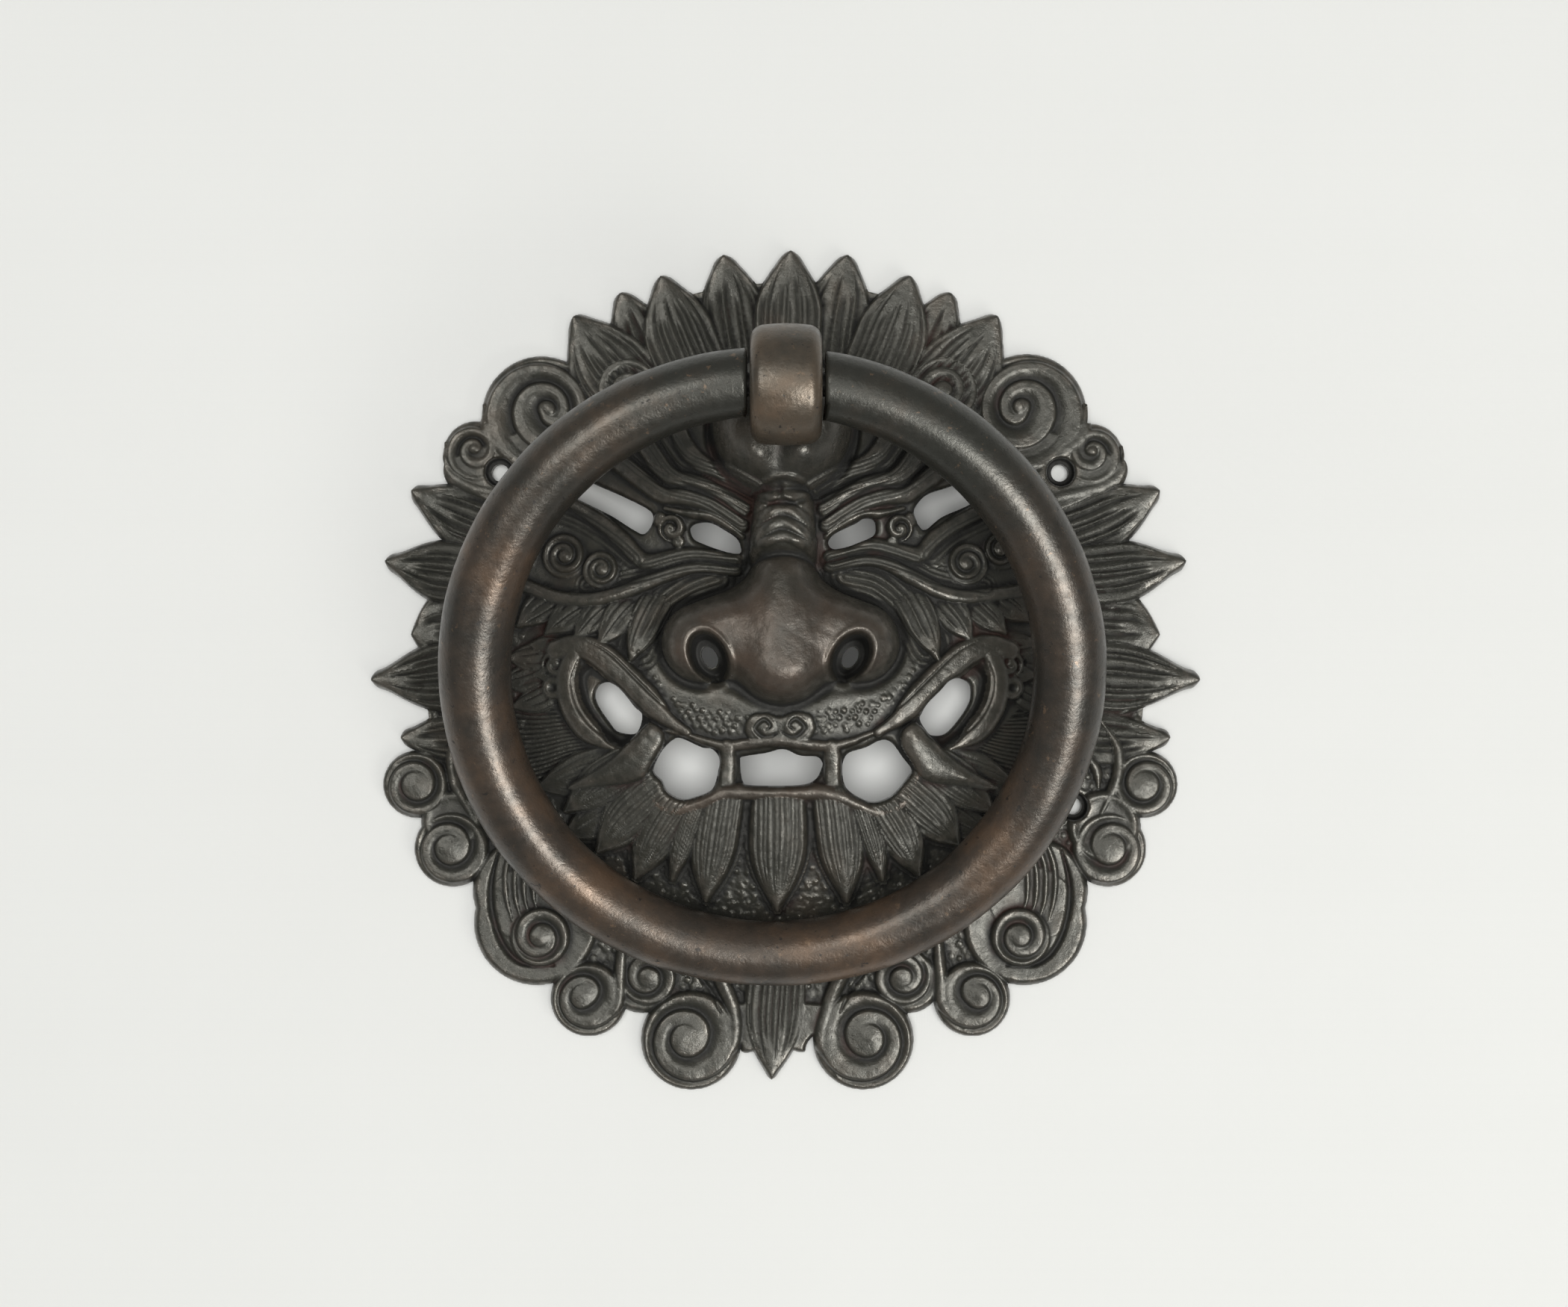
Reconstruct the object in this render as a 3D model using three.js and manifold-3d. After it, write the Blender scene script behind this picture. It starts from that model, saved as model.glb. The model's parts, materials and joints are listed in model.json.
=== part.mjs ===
// A door knocker: one cast beast mask with leaves and scrolls round its rim, and a heavy ring that
// swings on a pin through a knuckle bolted to the mask's forehead.
// Millimetres. +X runs across the mask, +Y up the door and +Z out of the door towards the visitor.
// The origin is the middle of the mask's flat back face.
import * as THREE from "three";
import { mergeVertices } from "three/addons/utils/BufferGeometryUtils.js";
import Module from "manifold-3d";

const wasm = await Module();
wasm.setup();
const { Manifold, Mesh: SolidMesh } = wasm;

// ---- Driving dimensions ----
const GAP = 0.3; // clear space between pieces that touch

const PLATE_RADIUS = 94; // the round plate that carries the leaves and scrolls
const RIM_HEIGHT = 5; // the plate's thickness at its rim
const DISH_RISE = 17; // how much higher the face stands than the rim
const DISH_FOOT = 92; // radius where the face starts to rise
const DISH_TOP = 30; // radius where the face levels out
const WALL = 4.5; // thickness of the hollow casting
const HOLLOW_RADIUS = 72; // radius of the hollow in the back, inside the flat rim

const RING_RADIUS = 74.6; // centreline of the ring
const RING_TUBE = 8.35; // the bar's radius at the top and bottom of the ring
const RING_SWELL = 0.75; // how much thicker the bar is at the ring's sides
const RING_SHIFT = -3.4; // the ring's middle lies to the left of its own cut
const RING_CUT = 21.2; // width of the cut that the knuckle stands in
const RING_TILT = 15.6; // degrees: the ring leans on the beard at its bottom
const RING_DROP = 73.75; // from the pin to the ring's middle

const PIVOT = new THREE.Vector3(0.1, 70, 60);
const KNUCKLE_RADIUS = 14.8;
const KNUCKLE_WIDTH = 17.4;
const KNUCKLE_ROUND = 4; // rounding of the knuckle's edges
const PIN_RADIUS = 3;
const PIN_LENGTH = 38;
const PIN_HOLE = PIN_RADIUS + GAP;

const SEAT_HEIGHT = 40; // flat seat on the forehead for the knuckle's neck
const NECK_RADIUS = 8.5;
const SHANK_RADIUS = 5;
const SHANK_END = 22;
const WASHER_RADIUS = 10;
const WASHER_THICK = 2;
const NUT_ACROSS = 16;
const NUT_HEIGHT = 8;
const NUT_SEAT = 34; // underside of the forehead, where the washer bears

const SCREW_RADIUS = 2.4;
const SCREW_RECESS = 3.6;
const SCREW_FLOOR = 3; // height of the recess's floor

// ---- Solids from three.js geometry ----
function solid(geometry) {
  const bare = new THREE.BufferGeometry();
  bare.setAttribute("position", geometry.getAttribute("position"));
  if (geometry.index) bare.setIndex(geometry.index);
  const merged = mergeVertices(bare, 1e-4);
  const corners = [];
  const index = merged.index.array;
  for (let i = 0; i < index.length; i += 3) {
    const [a, b, c] = index.slice(i, i + 3);
    if (a !== b && b !== c && c !== a) corners.push(a, b, c);
  }
  const points = merged.attributes.position.array;
  const make = (list) =>
    new Manifold(new SolidMesh({ numProp: 3, vertProperties: points, triVerts: new Uint32Array(list) }));
  const made = make(corners);
  return made.volume() < 0 ? make(corners.reverse()) : made;
}

function geometryOf(body) {
  const mesh = body.getMesh();
  const geometry = new THREE.BufferGeometry();
  geometry.setAttribute("position", new THREE.BufferAttribute(mesh.vertProperties.slice(), 3));
  geometry.setIndex(new THREE.BufferAttribute(mesh.triVerts.slice(), 1));
  geometry.computeVertexNormals();
  return geometry;
}

const join = (bodies) => Manifold.union(bodies);

// A closed solid through loops of equal length, with a flat cap at each end.
function loft(loops) {
  const count = loops[0].length;
  const points = loops.flat();
  const index = [];
  for (let i = 0; i + 1 < loops.length; i++) {
    for (let j = 0; j < count; j++) {
      const a = i * count + j;
      const b = i * count + ((j + 1) % count);
      index.push(a, b, b + count, a, b + count, a + count);
    }
  }
  const last = (loops.length - 1) * count;
  for (let j = 1; j + 1 < count; j++) {
    index.push(0, j + 1, j, last, last + j, last + j + 1);
  }
  const geometry = new THREE.BufferGeometry().setFromPoints(points);
  geometry.setIndex(index);
  return solid(geometry);
}

const cylinder = (radius, low, high, sides = 24) =>
  solid(new THREE.CylinderGeometry(radius, radius, high - low, sides).rotateX(Math.PI / 2))
    .translate([0, 0, (low + high) / 2]);

// ---- The face's smooth form ----
const smooth = (t) => {
  const u = Math.min(Math.max(t, 0), 1);
  return u * u * (3 - 2 * u);
};
const dishHeight = (x, y) =>
  RIM_HEIGHT + DISH_RISE * smooth((DISH_FOOT - Math.hypot(x, y)) / (DISH_FOOT - DISH_TOP));

function dish(radius, low, drop) {
  const profile = [new THREE.Vector2(0, low), new THREE.Vector2(radius, low)];
  for (let r = radius; r > DISH_TOP; r -= (radius - DISH_TOP) / 4) {
    profile.push(new THREE.Vector2(r, dishHeight(r, 0) - drop));
  }
  profile.push(new THREE.Vector2(0, dishHeight(0, 0) - drop));
  return solid(new THREE.LatheGeometry(profile, 30).rotateX(Math.PI / 2));
}

// Rounded masses of the face: centre, then half lengths along X, Y and Z.
const MASSES = [
  [[-1, 6, 15], [14, 15.5, 28]], // nose tip
  [[-1, 11, 9], [31.5, 18, 22]], // muzzle
  [[-18, 10, 13], [12.5, 13.5, 22]], // left nostril wing
  [[16, 10, 13], [12.5, 13.5, 22]], // right nostril wing
  [[0, 24, 16], [13, 14, 23]], // nose bridge
  [[0.5, 43, 14], [9, 15, 24]], // wrinkled root of the nose
  [[0.5, 67, 10], [21, 20, 35]], // forehead
  [[0, 54, 2], [50, 36, 25]], // brow
];
function masses(shrink) {
  const [around, down] = shrink ? [10, 6] : [16, 8];
  return MASSES.map(([centre, half]) =>
    solid(new THREE.SphereGeometry(1, around, down).rotateX(Math.PI / 2))
      .scale(half.map((h) => h - shrink))
      .translate(centre));
}

// ---- Ornament ----
// A leaf from its root to its tip, with a ridge down the middle, lying on the face.
function leaf(tip, root, width, full = 0.45, low = -2, high = 1.2) {
  const from = new THREE.Vector2(...tip);
  const along = new THREE.Vector2(...root).sub(from);
  const side = new THREE.Vector2(-along.y, along.x).normalize();
  const loops = [0, 0.1, 0.25, 0.5, 1].map((t) => {
    const half = Math.max(0.7, (width / 2) * Math.sin((Math.min(t / full, 1) * Math.PI) / 2));
    const at = (s, lift) => {
      const p = from.clone().addScaledVector(along, t).addScaledVector(side, s * half);
      return new THREE.Vector3(p.x, p.y, lift === null ? -1 : dishHeight(p.x, p.y) + lift);
    };
    return [at(-1, null), at(-1, low), at(0, high), at(1, low), at(1, null)];
  });
  return loft(loops);
}

// A raised bead along a smooth curve through a few points, lying on the face.
function bead(points, width, height, steps = 5, base = dishHeight) {
  const curve = new THREE.CatmullRomCurve3(points.map(([x, y]) => new THREE.Vector3(x, y, 0)));
  const loops = [];
  for (let i = 0; i <= steps; i++) {
    const middle = curve.getPoint(i / steps);
    const way = curve.getTangent(i / steps);
    const side = new THREE.Vector3(-way.y, way.x, 0).normalize();
    const taper = 0.45 + 0.55 * Math.sin((Math.PI * (i + 0.5)) / (steps + 1));
    const at = (s, lift) => {
      const p = middle.clone().addScaledVector(side, (s * width * taper) / 2);
      return new THREE.Vector3(p.x, p.y, base(p.x, p.y) + lift);
    };
    loops.push([at(-1, -2), at(-0.4, height), at(0.4, height), at(1, -2)]);
  }
  return loft(loops);
}

// A scroll: a round lobe with a spiral bead that winds in to a boss.
function scroll(centre, radius, turn = 1, top = 6, start = 0) {
  const sides = radius > 12 ? 16 : 12;
  const circle = (r, z) =>
    Array.from({ length: sides }, (_, i) => {
      const angle = (i / sides) * 2 * Math.PI;
      return new THREE.Vector3(centre[0] + r * Math.cos(angle), centre[1] + r * Math.sin(angle), z);
    });
  const lobe = loft([circle(radius, -1), circle(radius - 0.6, top)]);
  const loops = [];
  const steps = sides - 4;
  for (let i = 0; i <= steps; i++) {
    const t = i / steps;
    const angle = start + turn * t * 1.5 * 2 * Math.PI;
    const reach = radius * (0.86 - 0.62 * t);
    const half = radius * (0.11 - 0.03 * t);
    const at = (r, z) =>
      new THREE.Vector3(centre[0] + r * Math.cos(angle), centre[1] + r * Math.sin(angle), z);
    loops.push([at(reach - half, top - 4), at(reach, top + 1), at(reach + half, top - 4)]);
  }
  return [lobe, loft(loops)];
}

// A straight-sided hole through the casting with the given outline.
function hole(points) {
  const shape = new THREE.Shape(points.map(([x, y]) => new THREE.Vector2(x, y)));
  const geometry = new THREE.ExtrudeGeometry(shape, { depth: 80, bevelEnabled: false });
  return solid(geometry).translate([0, 0, -5]);
}

// ---- Leaves round the rim: tip, root, width, where it is widest ----
const RIM_LEAVES = [
  [[1.4, 110.8], [0, 74], 18.4, 0.45],
  [[-15.3, 109.3], [-9, 76], 15, 0.5],
  [[17.3, 110.1], [10, 76], 15, 0.5],
  [[-33.3, 104.2], [-17, 72], 19, 0.5],
  [[32.4, 104.2], [17, 72], 19, 0.5],
  [[-43.5, 99.4], [-27, 70], 14, 0.5],
  [[43.3, 100.1], [27, 70], 14, 0.5],
  [[-55.6, 92.8], [-33, 62], 22, 0.45],
  [[56.4, 93.9], [34, 62], 22, 0.45],
  [[-98.6, 48.4], [-66, 38], 17, 0.5],
  [[98.3, 45.7], [66, 37], 17, 0.5],
  [[-105.8, 28.9], [-68, 24], 20, 0.5],
  [[104.9, 29.1], [68, 24], 20, 0.5],
  [[-99, 8.5], [-68, 12], 22, 0.3],
  [[98, 8.7], [68, 12], 22, 0.3],
  [[-109.2, -2.4], [-68, -3], 22, 0.55],
  [[109.3, -2], [68, -3], 22, 0.55],
  [[-101.9, -18], [-68, -14], 18, 0.5],
  [[100.2, -17.3], [68, -14], 18, 0.5],
  [[-3.7, -107.8], [-2, -78], 17, 0.6],
];

// ---- Scrolls round the rim: middle, radius, winding, top, start of the spiral ----
const SCROLLS = [
  [[-64.6, 67.4], 15.7, 1, 8, 3.6],
  [[63.9, 68], 16, -1, 8, -0.5],
  [[-82, 57.5], 8.3, -1, 7, 4.4],
  [[80.6, 56.5], 8.6, 1, 7, -1.2],
  [[-97.5, -30], 8.6, 1, 6, 1.6],
  [[94.8, -29.8], 9.2, -1, 6, 1.6],
  [[-88, -47], 9.9, 1, 6, 1.2],
  [[84.8, -47.3], 10.4, -1, 6, 2],
  [[-65.8, -66.5], 16.7, 1, 7, 2.6],
  [[62.2, -66.5], 16.4, -1, 7, 0.6],
  [[-52, -86.5], 10.1, 1, 6, 1],
  [[49.2, -86.3], 10.3, -1, 6, 2.2],
  [[-24.9, -97.4], 13.2, 1, 6, 0.6],
  [[20.3, -97.2], 13.4, -1, 6, 2.6],
  [[-36.3, -80.5], 8, -1, 7, 1.2],
  [[30, -80.5], 8, 1, 7, 2],
];

// ---- Leaves on the face: beard, cheeks and brows ----
const FACE_LEAVES = [
  [[-3, -64], [-2, -30], 16, 0.6],
  [[16, -61], [9, -30], 14, 0.6],
  [[-20, -61], [-12, -30], 14, 0.6],
  [[35, -54], [22, -32], 15, 0.6],
  [[-40, -55], [-24, -32], 15, 0.6],
  [[52, -44], [33, -28], 15, 0.6],
  [[-54, -45], [-36, -28], 15, 0.6],
  [[-38, 6], [-30, 24], 9, 0.6],
  [[36, 7], [28, 24], 9, 0.6],
  [[-48, 9], [-40, 22], 9, 0.6],
  [[46, 9], [38, 22], 9, 0.6],
  [[-58, 12], [-48, 22], 9, 0.6],
  [[56, 12], [47, 22], 9, 0.6],
];

// ---- Beads on the face: the points of the curve, width, height ----
const FACE_BEADS = [
  [[[-10, 44], [-24, 52], [-38, 62]], 6, 3],
  [[[10, 44], [24, 52], [38, 62]], 6, 3],
  [[[-12, 38], [-26, 44], [-40, 56], [-52, 62]], 5, 2.4],
  [[[12, 38], [26, 44], [40, 56], [52, 62]], 5, 2.4],
  [[[-12, 28], [-32, 30], [-50, 42], [-66, 48]], 6, 3],
  [[[12, 28], [32, 30], [50, 42], [66, 48]], 6, 3],
  [[[-16, 26], [-34, 22], [-52, 18], [-70, 24]], 3.4, 2.2],
  [[[15, 26], [33, 22], [51, 18], [69, 24]], 3.4, 2.2],
  [[[-36, 2], [-24, -10], [-10, -16], [-1, -17], [9, -16], [22, -10], [34, 2]], 9, 2.4],
  [[[-36, -22], [-34, -34], [-20, -33.5], [-4, -32], [12, -33], [26, -37], [34, -30]], 4.5, 2.6],
  [[[-34, -16], [-45, -20], [-54, -10], [-54, 0], [-47, 2]], 6, 3.4],
  [[[34, -16], [42, -21], [52, -10], [52, 1], [45, 3]], 6, 3.4],
  [[[-32, -18], [-40, -28], [-50, -35]], 6.5, 3.4],
  [[[31, -18], [39, -27], [48, -34]], 6.5, 3.4],
];

// ---- Eye panels: a pair of spirals on each side ----
const EYE_SPIRALS = [
  [[-57, 29], 5.5, 1, 16, 2],
  [[-47.5, 27], 4.5, 1, 17.5, 2],
  [[46, 28.5], 5, -1, 17.5, 1],
  [[55.5, 30], 4.5, -1, 16, 1],
];

// ---- Holes through the face ----
const FACE_HOLES = [
  [[-34.8, 41.8], [-36.9, 35.8], [-53.3, 44.6], [-62, 50.4], [-58.8, 55], [-47.6, 48.4]],
  [[33, 38.2], [34, 43.2], [45, 49.6], [56, 55], [59.5, 50], [46, 42]],
  [[-24.8, 38.2], [-24, 33.9], [-17.6, 31], [-11.6, 30.6], [-12, 34.6], [-19, 38.6]],
  [[10.6, 33.9], [10.9, 31.5], [15.2, 31.5], [21.6, 33.9], [23.5, 37.5], [21.6, 39.9], [15.9, 38.6]],
  [[-49.8, -6.8], [-47.6, -12.5], [-43.3, -16], [-37.9, -14.6], [-37.6, -11], [-41.9, -5.3], [-47.6, -3.6]],
  [[34.9, -12.5], [35.5, -15.3], [38, -17], [44.5, -13.9], [48.5, -6.8], [46.6, -1.8], [39.5, -2.5]],
  [[-34.3, -25.3], [-32.6, -31], [-26.2, -33.6], [-18.3, -29.6], [-16.9, -23.2], [-19, -20.3], [-29, -17.9]],
  [[-11.6, -21.8], [-10.5, -28.9], [6.6, -29.6], [9.2, -24.6], [8.1, -21.8], [-1.2, -19.6]],
  [[14.9, -21.8], [15.9, -30.3], [25.2, -33.9], [32, -26.7], [32.3, -23.9], [26.6, -17.9]],
];

// ---- Screw holes through the rim ----
const SCREW_HOLES = [[-75.5, 52.4], [72.6, 52.4], [-76.9, -35.8], [76.9, -35.8]];

function nostril(x, lean) {
  const bore = solid(new THREE.CylinderGeometry(1, 1, 60, 14).rotateX(Math.PI / 2));
  return bore.scale([4.6, 7, 1]).rotate([0, 0, lean]).translate([x, 4.4, 26]);
}

function wrinkles() {
  return [[37, 15, 8.5], [42.5, 13, 7.5], [47.5, 11, 6.5]].map(([y, width, half]) => {
    const curve = [[-half, y - 3.5], [0.5, y + 1], [half + 1, y - 3.5]];
    const ridge = (x) => 38.5 - (x * x) / (width * 0.6);
    return bead(curve, 3.4, 1.8, 4, ridge);
  });
}

function maskCasting() {
  const ornament = [
    ...RIM_LEAVES.map((one) => leaf(...one)),
    ...SCROLLS.flatMap((one) => scroll(...one)),
    ...FACE_LEAVES.map((one) => leaf(...one, -0.5, 2)),
    ...FACE_BEADS.map((one) => bead(...one)),
    ...EYE_SPIRALS.map((one) => scroll(...one)[1]),
    ...wrinkles(),
  ];
  const whole = join([dish(PLATE_RADIUS, -1, 0), ...masses(0), ...ornament]);
  const below = solid(new THREE.BoxGeometry(300, 300, 40)).translate([0, 0, -20]);
  const hollow = join([dish(HOLLOW_RADIUS, -2, WALL), ...masses(WALL)]);
  const pad = cylinder(WASHER_RADIUS + 0.5, NUT_SEAT, SEAT_HEIGHT, 20).translate([PIVOT.x, PIVOT.y, 0]);
  const seat = cylinder(NECK_RADIUS + 1, SEAT_HEIGHT, SEAT_HEIGHT + 20).translate([PIVOT.x, PIVOT.y, 0]);
  const shankHole = cylinder(SHANK_RADIUS + GAP, -1, 80).translate([PIVOT.x, PIVOT.y, 0]);
  const wrenchRoom = cylinder(WASHER_RADIUS + 2, -1, NUT_SEAT, 20).translate([PIVOT.x, PIVOT.y, 0]);
  const screws = SCREW_HOLES.flatMap(([x, y]) => [
    cylinder(SCREW_RADIUS, -1, 20, 16).translate([x, y, 0]),
    cylinder(SCREW_RECESS, SCREW_FLOOR, 20, 16).translate([x, y, 0]),
  ]);
  return whole
    .subtract(hollow)
    .add(pad)
    .subtract(join([below, seat, shankHole, wrenchRoom, ...screws, ...FACE_HOLES.map(hole)]))
    .subtract(join([nostril(-19.3, -14), nostril(16.8, 14)]));
}

// ---- The ring, in its own frame: the pin's axis is its X axis ----
function knockerRing() {
  const loops = [];
  const steps = 36;
  const first = 0.03;
  for (let i = 0; i <= steps; i++) {
    const angle = first + (i / steps) * 2 * (Math.PI - first);
    const radius = RING_TUBE + RING_SWELL * Math.abs(Math.sin(angle)) ** 1.5;
    const outward = new THREE.Vector3(Math.sin(angle), Math.cos(angle), 0);
    const middle = outward.clone().multiplyScalar(RING_RADIUS)
      .add(new THREE.Vector3(RING_SHIFT - PIVOT.x, -RING_DROP, 0));
    loops.push(Array.from({ length: 10 }, (_, j) => {
      const turn = (j / 10) * 2 * Math.PI;
      return middle.clone()
        .addScaledVector(outward, radius * Math.cos(turn))
        .add(new THREE.Vector3(0, 0, radius * Math.sin(turn)));
    }));
  }
  const cut = solid(new THREE.BoxGeometry(RING_CUT, 30, 30));
  const holes = solid(new THREE.CylinderGeometry(PIN_HOLE, PIN_HOLE, PIN_LENGTH + 1, 16).rotateZ(Math.PI / 2));
  return loft(loops).subtract(join([cut, holes]));
}

function hingePin() {
  return solid(new THREE.CylinderGeometry(PIN_RADIUS, PIN_RADIUS, PIN_LENGTH, 16).rotateZ(Math.PI / 2));
}

// ---- The knuckle, in its own frame: the pin's axis is its X axis ----
function ringKnuckle() {
  const half = KNUCKLE_WIDTH / 2;
  const profile = [new THREE.Vector2(0, -half), new THREE.Vector2(KNUCKLE_RADIUS - KNUCKLE_ROUND, -half)];
  for (const end of [-1, 1]) {
    for (let i = 0; i <= 3; i++) {
      const angle = ((end < 0 ? i - 3 : i) / 3) * (Math.PI / 2);
      profile.push(new THREE.Vector2(
        KNUCKLE_RADIUS - KNUCKLE_ROUND + KNUCKLE_ROUND * Math.cos(angle),
        end * (half - KNUCKLE_ROUND) + KNUCKLE_ROUND * Math.sin(angle),
      ));
    }
  }
  profile.push(new THREE.Vector2(0, half));
  const barrel = solid(new THREE.LatheGeometry(profile, 24).rotateZ(Math.PI / 2));
  const neck = cylinder(NECK_RADIUS, SEAT_HEIGHT + GAP - PIVOT.z, -KNUCKLE_RADIUS / 2, 20);
  const shank = cylinder(SHANK_RADIUS, SHANK_END - PIVOT.z, -KNUCKLE_RADIUS / 2, 20);
  const bore = solid(new THREE.CylinderGeometry(PIN_HOLE, PIN_HOLE, 30, 16).rotateZ(Math.PI / 2));
  return join([barrel, neck, shank]).subtract(bore);
}

function washer() {
  return cylinder(WASHER_RADIUS, -WASHER_THICK, 0).subtract(cylinder(SHANK_RADIUS + GAP, -5, 5, 20));
}

function nut() {
  const corner = NUT_ACROSS / Math.sqrt(3);
  return cylinder(corner, -NUT_HEIGHT, 0, 6).subtract(cylinder(SHANK_RADIUS + GAP, -20, 5, 20));
}

// ---- The assembly ----
function bronze(color, roughness, metalness) {
  return new THREE.MeshStandardMaterial({ color, roughness, metalness });
}

function place(parent, name, body, material, position) {
  const mesh = new THREE.Mesh(geometryOf(body), material);
  mesh.name = name;
  mesh.position.copy(position);
  parent.add(mesh);
}

const knocker = new THREE.Group();
place(knocker, "mask_casting", maskCasting(), bronze(0x2c2b28, 0.42, 0.85), new THREE.Vector3());
place(knocker, "ring_knuckle", ringKnuckle(), bronze(0x43362c, 0.36, 0.9), PIVOT);
place(knocker, "hinge_pin", hingePin(), bronze(0x3a3a38, 0.4, 0.95), PIVOT);
const washerSeat = new THREE.Vector3(PIVOT.x, PIVOT.y, NUT_SEAT - GAP);
place(knocker, "knuckle_washer", washer(), bronze(0x54524c, 0.5, 0.9), washerSeat);
const nutSeat = washerSeat.clone().add(new THREE.Vector3(0, 0, -WASHER_THICK - GAP));
place(knocker, "knuckle_nut", nut(), bronze(0x4c4a46, 0.5, 0.9), nutSeat);

const swing = new THREE.Group();
swing.position.copy(PIVOT);
swing.rotation.x = THREE.MathUtils.degToRad(RING_TILT);
place(swing, "knocker_ring", knockerRing(), bronze(0x4a3b30, 0.38, 0.9), new THREE.Vector3());
knocker.add(swing);

export default knocker;
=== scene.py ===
"""A door knocker: a bronze beast mask with leaves and scrolls round its rim, and the ring it holds.

Sizes in this file are millimetres, in the frame of the CAD model, until a mesh is made in metres.
"""

import json
from math import asin, cos, pi, radians, sin

import bpy
import numpy as np
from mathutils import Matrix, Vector


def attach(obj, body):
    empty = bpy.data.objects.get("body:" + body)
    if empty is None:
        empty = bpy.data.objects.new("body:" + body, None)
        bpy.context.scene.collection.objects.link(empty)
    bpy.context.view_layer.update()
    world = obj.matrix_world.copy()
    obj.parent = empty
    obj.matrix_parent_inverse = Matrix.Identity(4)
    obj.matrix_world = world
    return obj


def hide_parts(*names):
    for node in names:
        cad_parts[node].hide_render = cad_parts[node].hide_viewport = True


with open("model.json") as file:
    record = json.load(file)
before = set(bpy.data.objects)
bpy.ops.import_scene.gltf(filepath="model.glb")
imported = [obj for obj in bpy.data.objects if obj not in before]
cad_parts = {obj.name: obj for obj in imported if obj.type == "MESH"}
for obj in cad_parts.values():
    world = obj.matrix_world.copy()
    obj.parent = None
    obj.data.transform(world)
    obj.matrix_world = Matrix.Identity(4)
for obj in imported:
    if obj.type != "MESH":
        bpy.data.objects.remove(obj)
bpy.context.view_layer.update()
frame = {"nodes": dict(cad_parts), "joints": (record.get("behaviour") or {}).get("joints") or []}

scene = bpy.context.scene
MM = 0.001
PIVOT = np.array(frame["joints"][0]["pos_m"]) / MM  # middle of the pin that the ring turns on
WALL = 4.5  # thickness of the hollow casting
HOLLOW = 76.0  # radius of the hollow in the back
PLATE = 95.0  # radius of the round plate under the ornament
EDGE_DROP = 1.8  # how far an ornament's edge rounds down

# ---- relief grid
STEP = 0.36  # spacing of the grid
WIDE, TALL = 111.6, 112.8  # half its width and half its height
NOWHERE = -9.0  # a height and a distance where there is no metal
GX = np.arange(-WIDE, WIDE + 0.1, STEP)
GY = np.arange(-TALL, TALL + 0.1, STEP)
X, Y = np.meshgrid(GX, GY, indexing="ij")
TOP = np.full(X.shape, NOWHERE)  # height of the casting's face
EDGE = np.full(X.shape, NOWHERE)  # distance inside the casting's outline
STRAND = np.zeros(X.shape)  # across the hair lines, one unit per line
COMB = np.zeros(X.shape)  # depth of the hair lines
WARM = np.zeros(X.shape)  # where handling has worn the bronze brown
RNG = np.random.default_rng(7)


def smooth(t):
    """0 to 1 with soft ends, as t goes from 0 to 1."""
    t = np.clip(t, 0, 1)
    return t * t * (3 - 2 * t)


def window(points, margin):
    """The part of the grid round some points."""
    p = np.array(points, float)
    low, high = p.min(0) - margin, p.max(0) + margin
    i = np.searchsorted(GX, [low[0], high[0]])
    j = np.searchsorted(GY, [low[1], high[1]])
    return slice(i[0], i[1]), slice(j[0], j[1])


def curve(points, closed=False):
    """A smooth line through the points (Catmull-Rom)."""
    chords = 6 if closed else 8
    p = np.array(points, float)
    if closed:
        p = np.vstack([p[-1], p, p[0], p[1]])
    else:
        p = np.vstack([2 * p[0] - p[1], p, 2 * p[-1] - p[-2]])
    t = np.linspace(0, 1, chords, endpoint=False)[:, None]
    out = []
    for a, b, c, d in zip(p, p[1:], p[2:], p[3:]):
        out.append(0.5 * (2 * b + (c - a) * t + (2 * a - 5 * b + 4 * c - d) * t**2
                          + (3 * b - a - 3 * c + d) * t**3))
    line = np.vstack(out)
    return line if closed else np.vstack([line, p[-2]])


def nearest(line, x, y):
    """Distance to a line, how far along it (0 to 1), and which side (+1 is its left)."""
    step = np.diff(line, axis=0)
    length = np.maximum(np.hypot(*step.T), 1e-6)
    start = np.concatenate([[0], np.cumsum(length)])
    best = np.full(x.shape, 1e12)
    along = np.zeros(x.shape)
    side = np.ones(x.shape)
    for k, (dx, dy) in enumerate(step):
        px, py = x - line[k, 0], y - line[k, 1]
        u = np.clip((px * dx + py * dy) / length[k] ** 2, 0, 1)
        gap = (px - u * dx) ** 2 + (py - u * dy) ** 2
        near = gap < best
        best = np.where(near, gap, best)
        along = np.where(near, (start[k] + u * length[k]) / start[-1], along)
        side = np.where(near, np.where(dx * py - dy * px >= 0, 1.0, -1.0), side)
    return np.sqrt(best), along, side


def inside(line, x, y):
    """Distance inside a closed outline, negative outside."""
    loop = np.vstack([line, line[:1]])
    gap = nearest(loop, x, y)[0]
    odd = np.zeros(x.shape, bool)
    for (ax, ay), (bx, by) in zip(loop, loop[1:]):
        if ay != by:
            crosses = (ay > y) != (by > y)
            odd ^= crosses & (x < (bx - ax) * (y - ay) / (by - ay) + ax)
    return np.where(odd, gap, -gap)


def near_point(centre, reach):
    w = window([centre], reach)
    return w, X[w] - centre[0], Y[w] - centre[1]


def outlined(points, margin):
    """The grid round a smooth outline, and the distance inside it."""
    line = curve(points, True)
    w = window(line, margin)
    return w, inside(line, X[w], Y[w])


def shoulder(depth, reach):
    """0 at an edge, rising round to 1 at the given reach inside it."""
    return np.sqrt(1 - (1 - np.clip(depth / reach, 0, 1)) ** 2)


def ball(q):
    """Height of a ball of radius 1 at a squared distance q from its middle."""
    return np.sqrt(np.maximum(0, 1 - q))


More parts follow.
